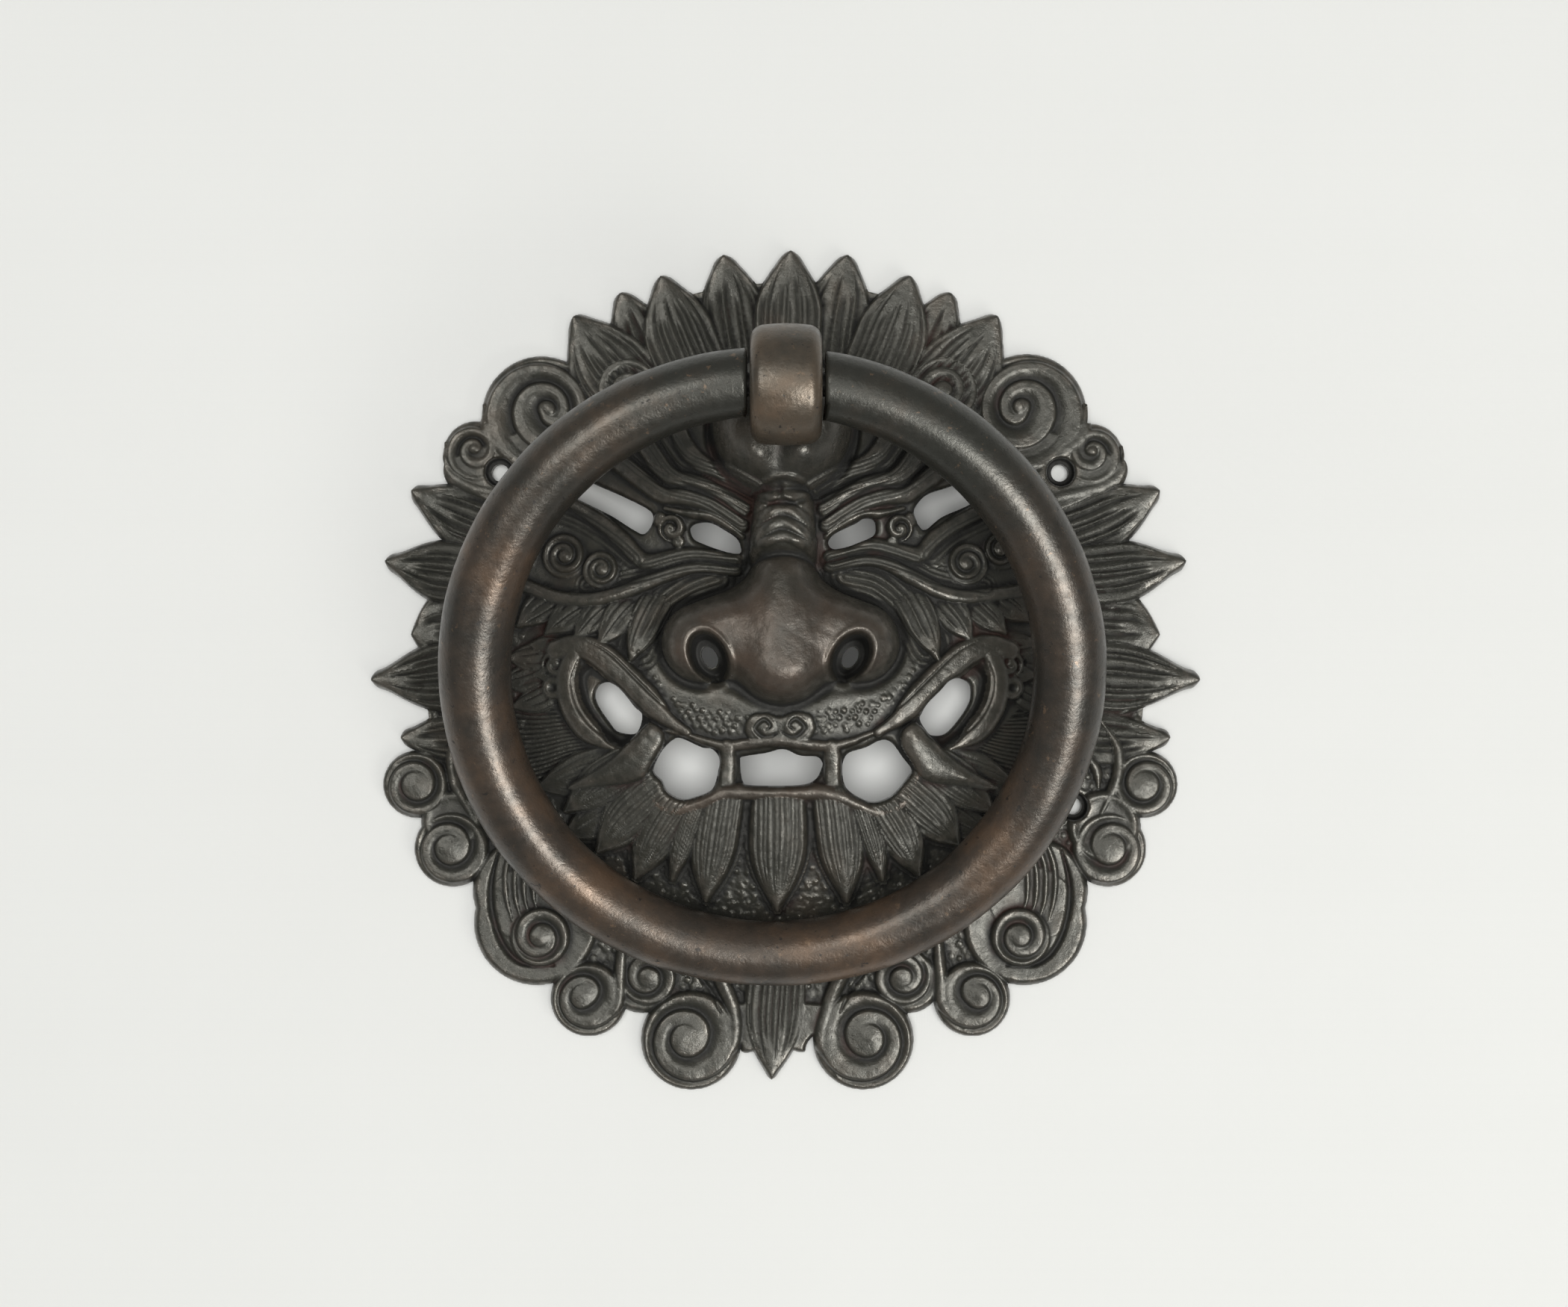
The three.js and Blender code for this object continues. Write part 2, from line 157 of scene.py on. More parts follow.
def furrow(phase):
    """0 on the crest of each hair line and 1 in the groove beside it."""
    return 0.5 - 0.5 * np.cos(2 * pi * phase)


def mirror(points, sign, shift=0.0):
    """Points given outwards from the middle, put on the left side (-1) or the right (1), and shifted."""
    return [(sign * x + shift, y) for x, y in points]


def carve(w, height, where):
    """Raises the face to a height where that is higher, with no hair lines on it."""
    over = where & (height > TOP[w])
    TOP[w] = np.where(over, height, TOP[w])
    COMB[w] = np.where(over, 0, COMB[w])
    return over


def lay(w, depth, height):
    """Puts an ornament on the casting and widens the outline to hold it."""
    over = carve(w, height, depth > -0.8)
    EDGE[w] = np.maximum(EDGE[w], depth)
    return over


# ---- smooth masses of the face
def dish(x, y):
    """The casting's round body."""
    rim, rise, foot, slope = 5, 17, 92, 62
    return rim + rise * smooth((foot - np.hypot(x, y)) / slope)


def soft_max(a, b, soft):
    """The higher of two heights, blended where they are close."""
    h = np.clip(0.5 + 0.5 * (a - b) / soft, 0, 1)
    return b + (a - b) * h + soft * h * (1 - h)


def dome(x, y, centre, half, flat=1):
    """A dome from its centre (x, y, foot) and half sizes (x, y, rise); flat over 1 flattens its top."""
    q = (((x - centre[0]) / half[0]) ** 2 + ((y - centre[1]) / half[1]) ** 2) ** flat
    return centre[2] + half[2] * ball(q) - 14 * np.maximum(0, q - 1)


BROW = ((0, 50, 2), (50, 31, 25))
MUZZLE = ((-1, -4, 6), (44, 26, 20.5))
FOREHEAD = ((-0.8, 62.5, 12), (19, 19.5, 31), 2)


def face_base(x, y):
    z = soft_max(dome(x, y, *BROW), dish(x, y), 6)
    z = soft_max(dome(x, y, *MUZZLE), z, 8)
    return soft_max(dome(x, y, *FOREHEAD), z, 2)


FACE = face_base(X, Y)


# ---- ornament
def leaf(tip, root, width, full, lift, crown, strands, bow, cut, low=EDGE_DROP, rim=0.4, tuck=0.14,
         blunt=0.9, round_tip=1.1):
    """A leaf from tip to root, crowned across, with a raised rim and grooves along it."""
    tip, root = np.array(tip, float), np.array(root, float)
    length = np.hypot(*(root - tip))
    ax, ay = (root - tip) / length
    w = window([tip, root], width * 0.6 + 2)
    px, py = X[w] - tip[0], Y[w] - tip[1]
    t = (px * ax + py * ay) / length
    s = py * ax - px * ay - bow * 4 * t * (1 - t)
    # outline
    rise = np.sin(np.clip((t * length + 0.25) / (full * length), 0, 1) * pi / 2) ** blunt
    half = np.maximum(width / 2 * rise, 0.05)
    nib = round_tip * shoulder(t * length, round_tip)
    half = (half**3 + nib**3) ** (1 / 3)
    half = half * (1 - 0.15 * np.clip((t - full) / (1 - full), 0, 1) ** 2)
    u = np.clip(s / half, -1.2, 1.2)
    depth = (half - np.abs(s)) * 0.86
    depth = np.where(t < 0, np.minimum(depth, t * length), depth)
    depth = np.where(t > 1, -3, depth)
    # hair lines, each uneven in its own way
    seed = 7 * sin(tip[0] * 3.1 + tip[1])
    index = np.floor((u + 1) * strands / 2)
    begin = 0.1 + 0.09 * (1 + np.sin(index * 2.4 + seed))
    phase = (u + 1) * strands / 2 + 0.16 * np.sin(5 * u + seed) + 0.07 * np.sin(9 * t + seed)
    phase = phase + 0.13 * np.sin(13 * u + 2 * seed + 2 * t)
    comb = smooth((t - begin) / 0.12) * smooth((0.95 - np.abs(u)) / 0.14) * smooth((1 - t) / 0.2)
    comb = comb * (0.4 + 0.6 * np.abs(np.sin(np.floor(phase + 0.5) * 1.7 + seed + 2 * t)))
    # height
    arched = crown * (1 - 0.5 * t) * (1 - np.minimum(u * u, 1))
    height = FACE[w] + lift + arched - cut * comb * furrow(phase)
    height = height + rim * np.exp(-(((half - np.abs(s) - 0.9) / 0.5) ** 2)) * smooth(t * length / 4)
    height = height - (lift + low) * (1 - shoulder(depth, 1.6)) - 4 * smooth((t - 1 + tuck) / tuck)
    over = lay(w, depth, height)
    STRAND[w] = np.where(over, phase, STRAND[w])
    COMB[w] = np.where(over, comb * cut, COMB[w])


def lobe(centre, radius, lift, rim):
    """A round lobe of the mask's edge, dished behind a raised rim."""
    w, px, py = near_point(centre, radius + 2)
    depth = radius - np.hypot(px, py)
    height = FACE[w] + lift + rim * np.exp(-(((depth - 1.9) / 1.2) ** 2)) - 0.5 * smooth(depth / radius)
    lay(w, depth, height - (lift + EDGE_DROP) * (1 - shoulder(depth, 1.9)))


def scroll(centre, radius, wind, gate, turns, lift, eye, rim, cut=0.85, low=EDGE_DROP, off=(0, 0)):
    """A disc with a spiral groove that comes in at the gate's angle and winds round a raised button.

    The groove starts at rim and ends at eye, both as parts of the radius; off moves the button.
    """
    w, px, py = near_point(centre, radius + 2)
    depth = radius - np.hypot(px, py)
    inward = np.clip(depth / radius, 0, 1)
    px, py = px - off[0] * inward, py - off[1] * inward
    r, angle = np.hypot(px, py), np.arctan2(py, px)
    outer, inner = rim * radius, eye * radius
    pitch = (outer - inner) / turns
    start = gate - wind * 2 * pi * min((radius - outer) / pitch, 0.98)
    around = np.mod(wind * (angle - start), 2 * pi) / (2 * pi)
    q = (outer - r) / pitch + around
    line = np.round(q)
    beside = (q - line) * pitch
    reach = np.where(beside > 0, 0.28 + 0.012 * radius, 0.4 + 0.085 * radius)
    groove_here = np.exp(-((beside / reach) ** 2)) * smooth((r - inner * 0.75) / 0.8) * (line > -0.5)
    height = FACE[w] + lift + 0.3 * np.clip((outer - r) / pitch + 1, 0, 3) - cut * 1.35 * groove_here
    height = height + 0.5 * np.clip(1 - (r / (inner * 1.1)) ** 2, 0, 1)
    lay(w, depth, height - (lift + low) * (1 - shoulder(depth, 1.7)))


def ridge(points, margin, width, ends):
    """Along a line: the grid there, the distance from the line, and half a width that narrows to its ends."""
    line = curve(points)
    w = window(line, margin)
    gap, t, _ = nearest(line, X[w], Y[w])
    half = width / 2 * (ends[0] + (1 - ends[0]) * smooth(t / 0.35))
    return w, gap, half * (ends[1] + (1 - ends[1]) * smooth((1 - t) / 0.35))


def bead(points, width, height, ends=(0.35, 0.35), lift=0.0, sharp=2.0, warm=0.0):
    """A rounded ridge along a smooth line, standing on the face; sharp over 2 flattens its top."""
    w, gap, half = ridge(points, width + 1, width, ends)
    q = np.clip(gap / half, 0, 1.5)
    rise = height * np.sqrt(half / (width / 2))
    z = FACE[w] + lift + rise * ball(q**sharp) - 3 * np.maximum(0, q - 1)
    over = carve(w, z, q < 1.2)
    WARM[w] = np.where(over, np.maximum(WARM[w], warm), WARM[w])


def groove(points, width, depth):
    """A round-bottomed groove along a smooth line."""
    w, gap, half = ridge(points, width * 2, width, (0.3, 0.3))
    TOP[w] -= depth * np.exp(-((gap / half) ** 2))


def hair(w, mask, phase, cut):
    """Cuts hair lines where the mask is over 0, one line per unit of phase."""
    TOP[w] -= cut * mask * furrow(phase)
    STRAND[w] = np.where(mask > 0, phase, STRAND[w])
    COMB[w] = np.where(mask > 0, cut * mask, COMB[w])


def flow(points, reach, spacing, cut):
    """Hair lines that run alongside a smooth line."""
    line = curve(points)
    w = window(line, reach + 1)
    gap, _, side = nearest(line, X[w], Y[w])
    hair(w, smooth((reach - gap) / 1.2), gap * side / spacing, cut)


def combed(points, focus, spacing, cut):
    """Hair lines inside an outline, fanning out from a focus point."""
    w, depth = outlined(points, 1)
    px, py = X[w] - focus[0], Y[w] - focus[1]
    r, angle = np.hypot(px, py), np.arctan2(py, px)
    phase = np.mod(angle, 2 * pi) * 40 / spacing + 0.2 * np.sin(r * 0.4) + 0.2 * np.sin(angle * 9)
    hair(w, smooth(depth / 1.2), phase, cut)


def plateau(points, height, edge, widen=False, lift=0.0):
    """A raised panel with a rounded edge, or with the lift as a step at its edge."""
    w, depth = outlined(points, 2)
    z = FACE[w] + lift + height - (height + EDGE_DROP * widen) * (1 - shoulder(depth, edge))
    if widen:
        lay(w, depth, z)
    else:
        carve(w, z, depth > 0)


def sink(points, depth, edge):
    w, inward = outlined(points, 1)
    TOP[w] -= depth * smooth(inward / edge)


def pebbled(points, spacing, size, height, jitter=0.35):
    """Pebbles in uneven rows inside an outline."""
    line = curve(points, True)
    low, high = line.min(0), line.max(0)
    columns, rows = np.arange(low[0], high[0], spacing), np.arange(low[1], high[1], spacing * 0.86)
    px, py = np.meshgrid(columns, rows)
    px = px + spacing / 2 * (np.arange(len(px)) % 2)[:, None]
    spots = np.stack([px.ravel(), py.ravel()], 1)
    spots = spots + spacing * jitter * (RNG.random(spots.shape) - 0.5)
    for x, y in spots[inside(line, spots[:, 0], spots[:, 1]) > 0.5]:
        radius = size * (0.75 + 0.5 * RNG.random())
        w, px, py = near_point((x, y), radius)
        q = (px**2 + py**2) / radius**2
        TOP[w] += height * (0.3 + 0.9 * RNG.random()) * ball(q)


def curl(centre, radius, wind, gate, turns, height):
    w, px, py = near_point(centre, radius + 1)
    r, angle = np.hypot(px, py), np.arctan2(py, px)
    pitch = radius * 0.8 / turns
    around = np.mod(wind * (angle - gate), 2 * pi) / (2 * pi)
    q = (radius * 0.84 - r) / pitch + around
    beside = np.abs(q - np.round(q)) * pitch
    rise = ball((beside / (pitch * 0.44)) ** 2) * (np.round(q) > -0.5)
    eye = ball((r / (radius * 0.3)) ** 2)
    z = FACE[w] + 0.2 + height * np.maximum(rise, eye) * smooth((radius * 1.05 - r) / 0.8)
    carve(w, z, r < radius)


def boss(centre, radius, height, dent):
    w, px, py = near_point(centre, radius + 1)
    r = np.hypot(px, py)
    z = FACE[w] + height * shoulder(radius - r, radius * 0.5) - dent * smooth(1 - r / (radius * 0.62))
    carve(w, z, r < radius)


def opening(points):
    """A hole right through, with its edge rounded down."""
    funnel, drop = 1.5, 2.2
    w, depth = outlined(points, funnel + 2)
    gap = -depth
    TOP[w] -= drop * (1 - shoulder(gap, funnel)) * (gap < funnel)
    COMB[w] *= smooth((gap - 0.5) / 1.5)
    EDGE[w] = np.minimum(EDGE[w], gap)


# ---- rim
def plate():
    reach = PLATE + 7.5 * smooth((Y - 82) / 12)
    lay(np.s_[:, :], reach - np.hypot(X, Y), FACE - 0.4)
    turns = np.radians(np.linspace(168, 372, 24))
    outer = [(94.5 * cos(a), 94.5 * sin(a)) for a in turns]
    inner = [(70 * cos(a), 70 * sin(a)) for a in turns[::-1]]
    pebbled(outer + inner, 2.2, 1.1, 0.55)
    for sign in (-1, 1):
        bead(mirror([(83, -13), (87.5, -20), (87.6, -28), (84.5, -35), (82, -40)], sign), 3.4, 1.8)
        bead(mirror([(78, -20), (82, -26), (82.6, -31)], sign), 2.6, 1.4)


def top_leaves():
    """Each row is a tip, root, width, full, lift, crown, strands, bow and cut."""
    for sign in (-1, 1):
        for tip, root, *shape, bow, cut in (
            ((43.6, 99.9), (33, 70), 15, 0.42, 0.1, 1, 7, -1, 0.7),
            ((16.4, 109.8), (11, 72), 17, 0.4, 0.3, 1.2, 8, -0.5, 0.6),
            ((56, 93.6), (27, 63), 24, 0.46, 1, 1.4, 13, 3.4, 0.5),
            ((32.9, 104.2), (17, 66), 20, 0.42, 1.2, 1.5, 12, 1.6, 0.45),
        ):
            leaf(*mirror((tip, root), sign), *shape, sign * bow, cut, round_tip=2.7)
    leaf((1.4, 110.8), (0, 70), 18.8, 0.42, 1.5, 1.5, 12, 0, 0.45, round_tip=2.7)


def side_leaves():
    """As above, with blunt and round tip at the end of each row."""
    for sign, near in ((-1, 73), (1, 68)):
        for tip, root, *shape, bow, cut, blunt, round_tip in (
            ((101.6, -17.6), (near, -15), 15, 0.55, 0.3, 1.2, 6, 1.5, 0.8, 1, 2.4),
            ((98.8, 47.6), (60, 33), 17, 0.4, 0.6, 1.4, 8, 1.8, 0.8, 1, 2.5),
            ((98.8, 9.6), (near, 12), 20, 0.3, 0.4, 1.2, 8, 0, 0.7, 0.9, 1.1),
            ((105.6, 29), (near, 25), 17, 0.5, 1.2, 1.7, 8, 1, 0.8, 1.1, 2.4),
            ((109.3, -2.2), (near, 1), 19, 0.55, 1.3, 1.7, 9, 0.8, 0.8, 1.1, 2.4),
            ((92, 38), (66, 30), 9, 0.5, 0.2, 0.8, 3, 0, 0.6, 0.9, 1.1),
            ((93, -10), (70, -6), 10, 0.5, 0.2, 0.8, 3, 0, 0.6, 0.9, 1.1),
            ((92, 19), (70, 18), 8, 0.5, 0.2, 0.8, 3, 0, 0.6, 0.9, 1.1),
        ):
            leaf(*mirror((tip, root), sign), *shape, sign * bow, cut, blunt=blunt, round_tip=round_tip)


def side_scroll(sign, shift, centre, radius, wind, gate, *shape, off=(0, 0)):
    """A scroll on one side, with its winding, gate and button mirrored too."""
    turn = 0 if sign < 0 else pi
    centre, = mirror([centre], sign, shift)
    scroll(centre, radius, sign * wind, turn + sign * gate, *shape, off=(sign * off[0], off[1]))


def upper_scrolls():
    panel = [(89, 56), (89.6, 50), (84, 46.5), (68, 41), (58, 52), (66, 64), (80, 60)]
    for sign, big, small in ((-1, (64.6, 67.4), (82, 57.5)), (1, (63.9, 68), (80.8, 56.8))):
        plateau(mirror(panel, sign), 1.6, 1.5, True)
        scroll((sign * 42, 74), 9.5, sign, 0.4, 1.2, 2, 0.22, 0.7)
        side_scroll(sign, 0, big, 15.8, -1, 2.4, 1.45, 2, 0.13, 0.66, 1, off=(-3, 2.2))
        side_scroll(sign, 0, small, 8.5, -1, 2, 1.15, 1.7, 0.16, 0.66, 0.9, off=(0, 1.2))
        bead(mirror([(79.5, 70), (78, 62), (73, 57.5), (66, 50)], sign), 5.4, 2, (0.2, 0.9), 0.2)
        bead(mirror([(89.5, 60), (89, 53), (83, 48.5), (74, 46.5), (66, 44)], sign), 4.4, 1.9, (0.3, 0.9))


def big_lobe(sign, shift):
    for centre, radius in (((68.5, -58), 14.2), ((65.8, -66.5), 16.6)):
        lobe(mirror([centre], sign, shift)[0], radius, 1.6, 0.05)
    edge = [(75.4, -47), (77.4, -55), (77.4, -63), (74.6, -71.8), (69.4, -77), (61, -77.6)]
    groove(mirror(edge, sign, shift), 1.5, 1.3)
    for k in range(4):
        line = [(70 - 2.6 * k, -42), (73.4 - 2.5 * k, -51), (73.6 - 2.4 * k, -59), (72 - 2.2 * k, -66 + k)]
        bead(mirror(line, sign, shift), 1.7, 1.2, (0.8, 0.4), 1)


def lower_scrolls():
    """The right side's are nearer the middle."""
    lobe((84, -41), 10, 1.3, 0.5)
    lobe((-88, -39.5), 8.4, 1, 0.4)
    for sign, shift in ((-1, 0), (1, -2.7)):
        low_shift = shift * 0.6
        lobe(mirror([(38 + shift, -82)], sign, shift)[0], 8.5, 0.8, 0.3)
        side_scroll(sign, shift, (97.5, -30), 8.9, -1, 0.5, 0.7, 1.4, 0.5, 0.8, 0.9)
        side_scroll(sign, shift, (88, -47), 10.1, -1, 0.4, 0.8, 1.5, 0.44, 0.8, 0.9, off=(1.2, 0.6))
        big_lobe(sign, shift)
        side_scroll(sign, shift, (64.6, -69.8), 8.4, 1, -0.2, 0.95, 3, 0.36, 0.8)
        side_scroll(sign, shift, (36.3 + shift, -80.6), 8.2, 1, 1.2, 0.9, 1.4, 0.36, 0.78)
        side_scroll(sign, shift, (52, -86.5), 10.1, -1, -1, 0.85, 1.7, 0.4, 0.78, 0.9, off=(2.4, 1.6))
        bead(mirror([(43, -72), (43.6, -80), (44.4, -88), (50, -94.4)], sign, shift), 3.6, 2.2, (0.8, 0.2))
        side_scroll(sign, shift, (24.9 + low_shift, -97.4), 13.3, -1, -0.8, 0.95, 1.9, 0.36, 0.78, 1,
                    off=(2.4, 1))
        stem = [(21, -74), (16.6, -82), (13.6, -90), (13.8 + low_shift, -98), (18 + low_shift, -107)]
        bead(mirror(stem, sign, shift), 4.2, 2.3, (0.9, 0.2))
        groove(mirror([(25, -78), (20, -84), (17, -90)], sign, shift), 1.2, 0.8)


def chin():
    panel = [(-18, -88), (-12.6, -98), (-11, -101), (-6, -100), (0, -100), (4.8, -100.8), (6, -98), (12, -88)]
    plateau(panel, 1, 1.2, True)
    leaf((-3.7, -107.8), (-2, -70), 17, 0.5, 0.9, 1.5, 10, 0, 0.6)


# ---- face
def brows():
    for sign, shift in ((-1, 0), (1, -0.6)):
        for points, width, height, ends, lift in (
            ([(8, 46.5), (15.5, 50.6), (21, 53), (25, 57), (28, 63), (30, 70)], 4.6, 2, (0.8, 0.9), 0.2),
            ([(10.5, 41.5), (18, 45.7), (22.5, 48.2), (28.5, 49.6), (32, 52.6), (36, 58), (42, 64)],
             5, 2.1, (0.7, 0.9), 0.2),
            ([(11, 37.4), (14.8, 40.3), (20.3, 43.2), (26.5, 45.1), (32, 45.9), (38, 50), (46, 56), (56, 62)],
             4.8, 2, (0.7, 0.9), 0.2),
            ([(11.2, 34.6), (14, 36.6), (19.5, 39.8), (26, 40.8), (31, 42)], 2.2, 1.5, (0.6, 0.5), 0.3),
        ):
            bead(mirror(points, sign, shift), width, height, ends, lift)
        flow(mirror([(9, 44.8), (15.7, 48.2), (22, 50), (28, 53), (33, 60)], sign, shift), 5.2, 1.25, 0.35)
        flow(mirror([(11, 38.8), (20.3, 44.6), (30, 47.6), (38, 53), (46, 60)], sign, shift), 3, 1.3, 0.3)
        for points in (
            [(9.1, 44.4), (15.7, 48), (20.4, 50), (26.9, 51.7), (30, 55), (34, 62)],
            [(11, 39.4), (15.7, 43), (20.3, 45.7), (25, 47.3), (30.6, 47.6), (34.8, 51), (42, 58)],
        ):
            groove(mirror(points, sign, shift), 1.3, 1.3)


def eyes():
    for points in (
        [(-12.6, 29), (-25, 30.2), (-36, 28.4), (-42.8, 34.5), (-53.5, 42.9), (-66, 49)],
        [(11, 29.6), (17.8, 31.6), (23.9, 32.4), (34.1, 30.2), (38.8, 34.5), (49.1, 41.1), (64, 48)],
    ):
        bead(points, 4.2, 2.2, (0.6, 0.9))
    for points in (
        [(-12.6, 25.8), (-22.7, 26.9), (-32, 24.4), (-41.4, 20.6), (-50.7, 18.4), (-60.1, 19.3), (-70, 23)],
        [(11, 26.8), (20.1, 28.6), (26.7, 27.5), (32.7, 24.2), (39.8, 20.7), (46.8, 19.2), (60.8, 20.9),
         (69, 24)],
    ):
        bead(points, 3.8, 2.4, (0.6, 1))
    flow([(-13, 27.6), (-25, 28.4), (-36, 25.6), (-44, 24), (-52, 22.5)], 3.6, 1.3, 0.4)
    flow([(12, 28.4), (22, 30.4), (33, 27.4), (40, 24.4), (52, 22.4)], 3.6, 1.3, 0.4)
    flow([(-40, 29), (-46, 34), (-54, 39), (-64, 43)], 3.4, 1.4, 0.4)
    flow([(38, 30), (44, 35), (52, 39), (62, 43)], 3.4, 1.4, 0.4)
    for x, y, radius in ((-57.8, 30.2, 6), (-47.9, 26.4, 5), (47.2, 28, 5.6), (56.4, 31.6, 5.2)):
        scroll((x, y), radius, 1 if x < 0 else -1, 1.6, 1.5, 1.2, 0.24, 0.88, 0.9, 0.6)
    for sign in (-1, 1):
        curl((sign * 29.4, 36.9), 3.6, -sign, 1.5, 1, 2.2)
        boss((sign * 32.4, 39.2), 1.9, 1.8, 0)
        boss((sign * 27.6, 33.4), 1.7, 1.6, 0)


def cheeks():
    flow([(-17, 23.4), (-25, 20.4), (-33, 14), (-38, 6)], 7, 1.7, 0.5)
    flow([(15.4, 24.6), (24, 22.4), (32, 15), (37, 7)], 7, 1.7, 0.5)
    for sign in (-1, 1):
        for x, y, width in ((73, 3.5, 9), (75, -3, 9), (72, -9.5, 8), (67, 7, 9), (66, -1, 8)):
            tip, root = mirror([(x, y), (x - 15, y * 0.6 + 3)], sign)
            leaf(tip, root, width, 0.5, 0.2, 1.3, 4, sign, 0.6, 1, 0.4, 0.4)
    for tip, root, width, bow in (
        ((-70.5, 11.5), (-54, 22.5), 10, 1), ((-62.9, 9.6), (-46, 20.4), 10.5, 1),
        ((-55, 8.2), (-41.5, 20.6), 9, 1), ((-48.6, 6.2), (-35, 22.5), 9.5, 1),
        ((-40.2, 2.4), (-28.4, 25), 10, 1), ((64, 13), (50, 21.8), 10, -1),
        ((57.4, 9.6), (44, 20.6), 9.5, -1), ((48.2, 7.6), (36.4, 22.4), 9.5, -1),
        ((39.4, 2.8), (27, 26), 10, -1),
    ):
        leaf(tip, root, width, 0.5, 0.5, 1.6, 5, bow, 0.6, 1, 0.5, 0.5)


def capsule(x, y, a, b, ra, rb):
    """Distance inside a tapered bar with round ends."""
    dx, dy = b[0] - a[0], b[1] - a[1]
    t = np.clip(((x - a[0]) * dx + (y - a[1]) * dy) / (dx * dx + dy * dy), 0, 1)
    return ra + (rb - ra) * t - np.hypot(x - a[0] - t * dx, y - a[1] - t * dy)


def nose():
    w = window([(-36, -14), (36, 36)], 2)
    x, y = X[w], Y[w]
    body = capsule(x, y, (-0.6, 24), (-0.8, 4), 8.4, 13)
    left = capsule(x, y, (-21.5, 7.4), (-10, 12), 10.4, 10)
    right = capsule(x, y, (19, 7.4), (8, 12), 10.4, 10)
    depth = soft_max(body, np.maximum(left, right), 7)
    rise = 12 * shoulder(depth, 8.2)
    spine = 4.2 * np.exp(-(((x + 0.8) / 11.5) ** 2)) * smooth((32 - y) / 20) * smooth((y + 12) / 14)
    tip = 1.2 * np.exp(-(((x + 0.8) / 13) ** 2 + ((y - 1) / 8) ** 2))
    over = carve(w, 24 + rise + (spine + tip) * smooth(depth / 4), depth > 0)
    bulb = np.exp(-(((x + 0.7) / 9) ** 2) - ((y - 23) / 8) ** 2)
    WARM[w] = np.where(over, np.maximum(WARM[w], (0.9 - 0.6 * bulb) * smooth(depth / 5)), WARM[w])
    crease = np.exp(-(((np.abs(x + 0.7) - 10.4 - 0.35 * (y - 18)) / 2.8) ** 2))
    TOP[w] -= 1.5 * crease * smooth((y - 8) / 12) * smooth((27 - y) / 6)
    TOP[w] -= 1.6 * np.exp(-(((depth + 0.6) / 1.5) ** 2)) * smooth((y + 12) / 8)
    for cx, lean in ((-19.5, 0.46), (16.6, -0.52)):
        c, s = cos(lean), sin(lean)
        px, py = x - cx, y - 3.6
        q = np.hypot((px * c + py * s) / 4.9, (py * c - px * s) / 7.2)
        TOP[w] += 0.5 * np.exp(-(((q - 1.16) / 0.12) ** 2)) - 11 * smooth((1.04 - q) / 0.42)
        WARM[w] *= smooth((q - 0.8) / 0.3)
        EDGE[w] = np.minimum(EDGE[w], (q - 0.4) * 5.4)


def wrinkles():
    """The root of the nose."""
    w = window([(-14, 26), (14, 54)], 1)
    x, y = X[w], Y[w]
    depth = capsule(x, y, (-0.4, 42.4), (-0.6, 30), 7.8, 8.8)
    carve(w, 25 + 9.5 * shoulder(depth, 6.5) + 0.12 * (48 - y) - 6 * smooth((33.5 - y) / 6), depth > 0)
    on = smooth(depth / 1.5)
    bend = 0.6 * (np.sqrt((x + 0.8) ** 2 + 4) - 2)
    for apex, width, height in ((34.4, 3.2, 1), (37.8, 3.6, 1.4), (41.4, 3.6, 1.2)):
        across = np.abs(y - apex + bend) / (width / 2)
        TOP[w] += on * height * ball(across**2)
    crown = smooth((y - 43 + bend) / 1.4) * smooth((48.4 - y - 0.04 * (x + 0.8) ** 2) / 2)
    facet = 2 - 1.1 * np.exp(-(((x + 1.4) / 0.8) ** 2)) - 0.22 * np.abs(x + 0.8)
    TOP[w] += np.where(depth > 0, facet * crown, 0)
    arch = np.abs(y - 49.2 + 0.055 * (x + 0.4) ** 2)
    TOP[w] += 1.1 * np.exp(-((arch / 0.7) ** 2)) * smooth((10 - np.abs(x + 0.4)) / 2)


def forehead():
    for bump in ((-8.3, 54.8), (4.6, 55.2)):
        w, px, py = near_point(bump, 7)
        TOP[w] += 1.9 * np.exp(-(px**2 + py**2) / 3.7**2)
    w = window([(-20, 40), (20, 90)], 2)
    TOP[w] -= 1.3 * np.exp(-(((X[w] + 1.9) / 2.6) ** 2) - ((Y[w] - 54) / 6) ** 2)
    q = np.hypot((X[w] + 0.8) / 19, (Y[w] - 62.5) / 19.5)
    TOP[w] -= 1.4 * np.exp(-(((q - 1.02) / 0.04) ** 2)) * (Y[w] < 66)
    WARM[w] = np.maximum(WARM[w], 0.1 * smooth((1 - q) / 0.2))


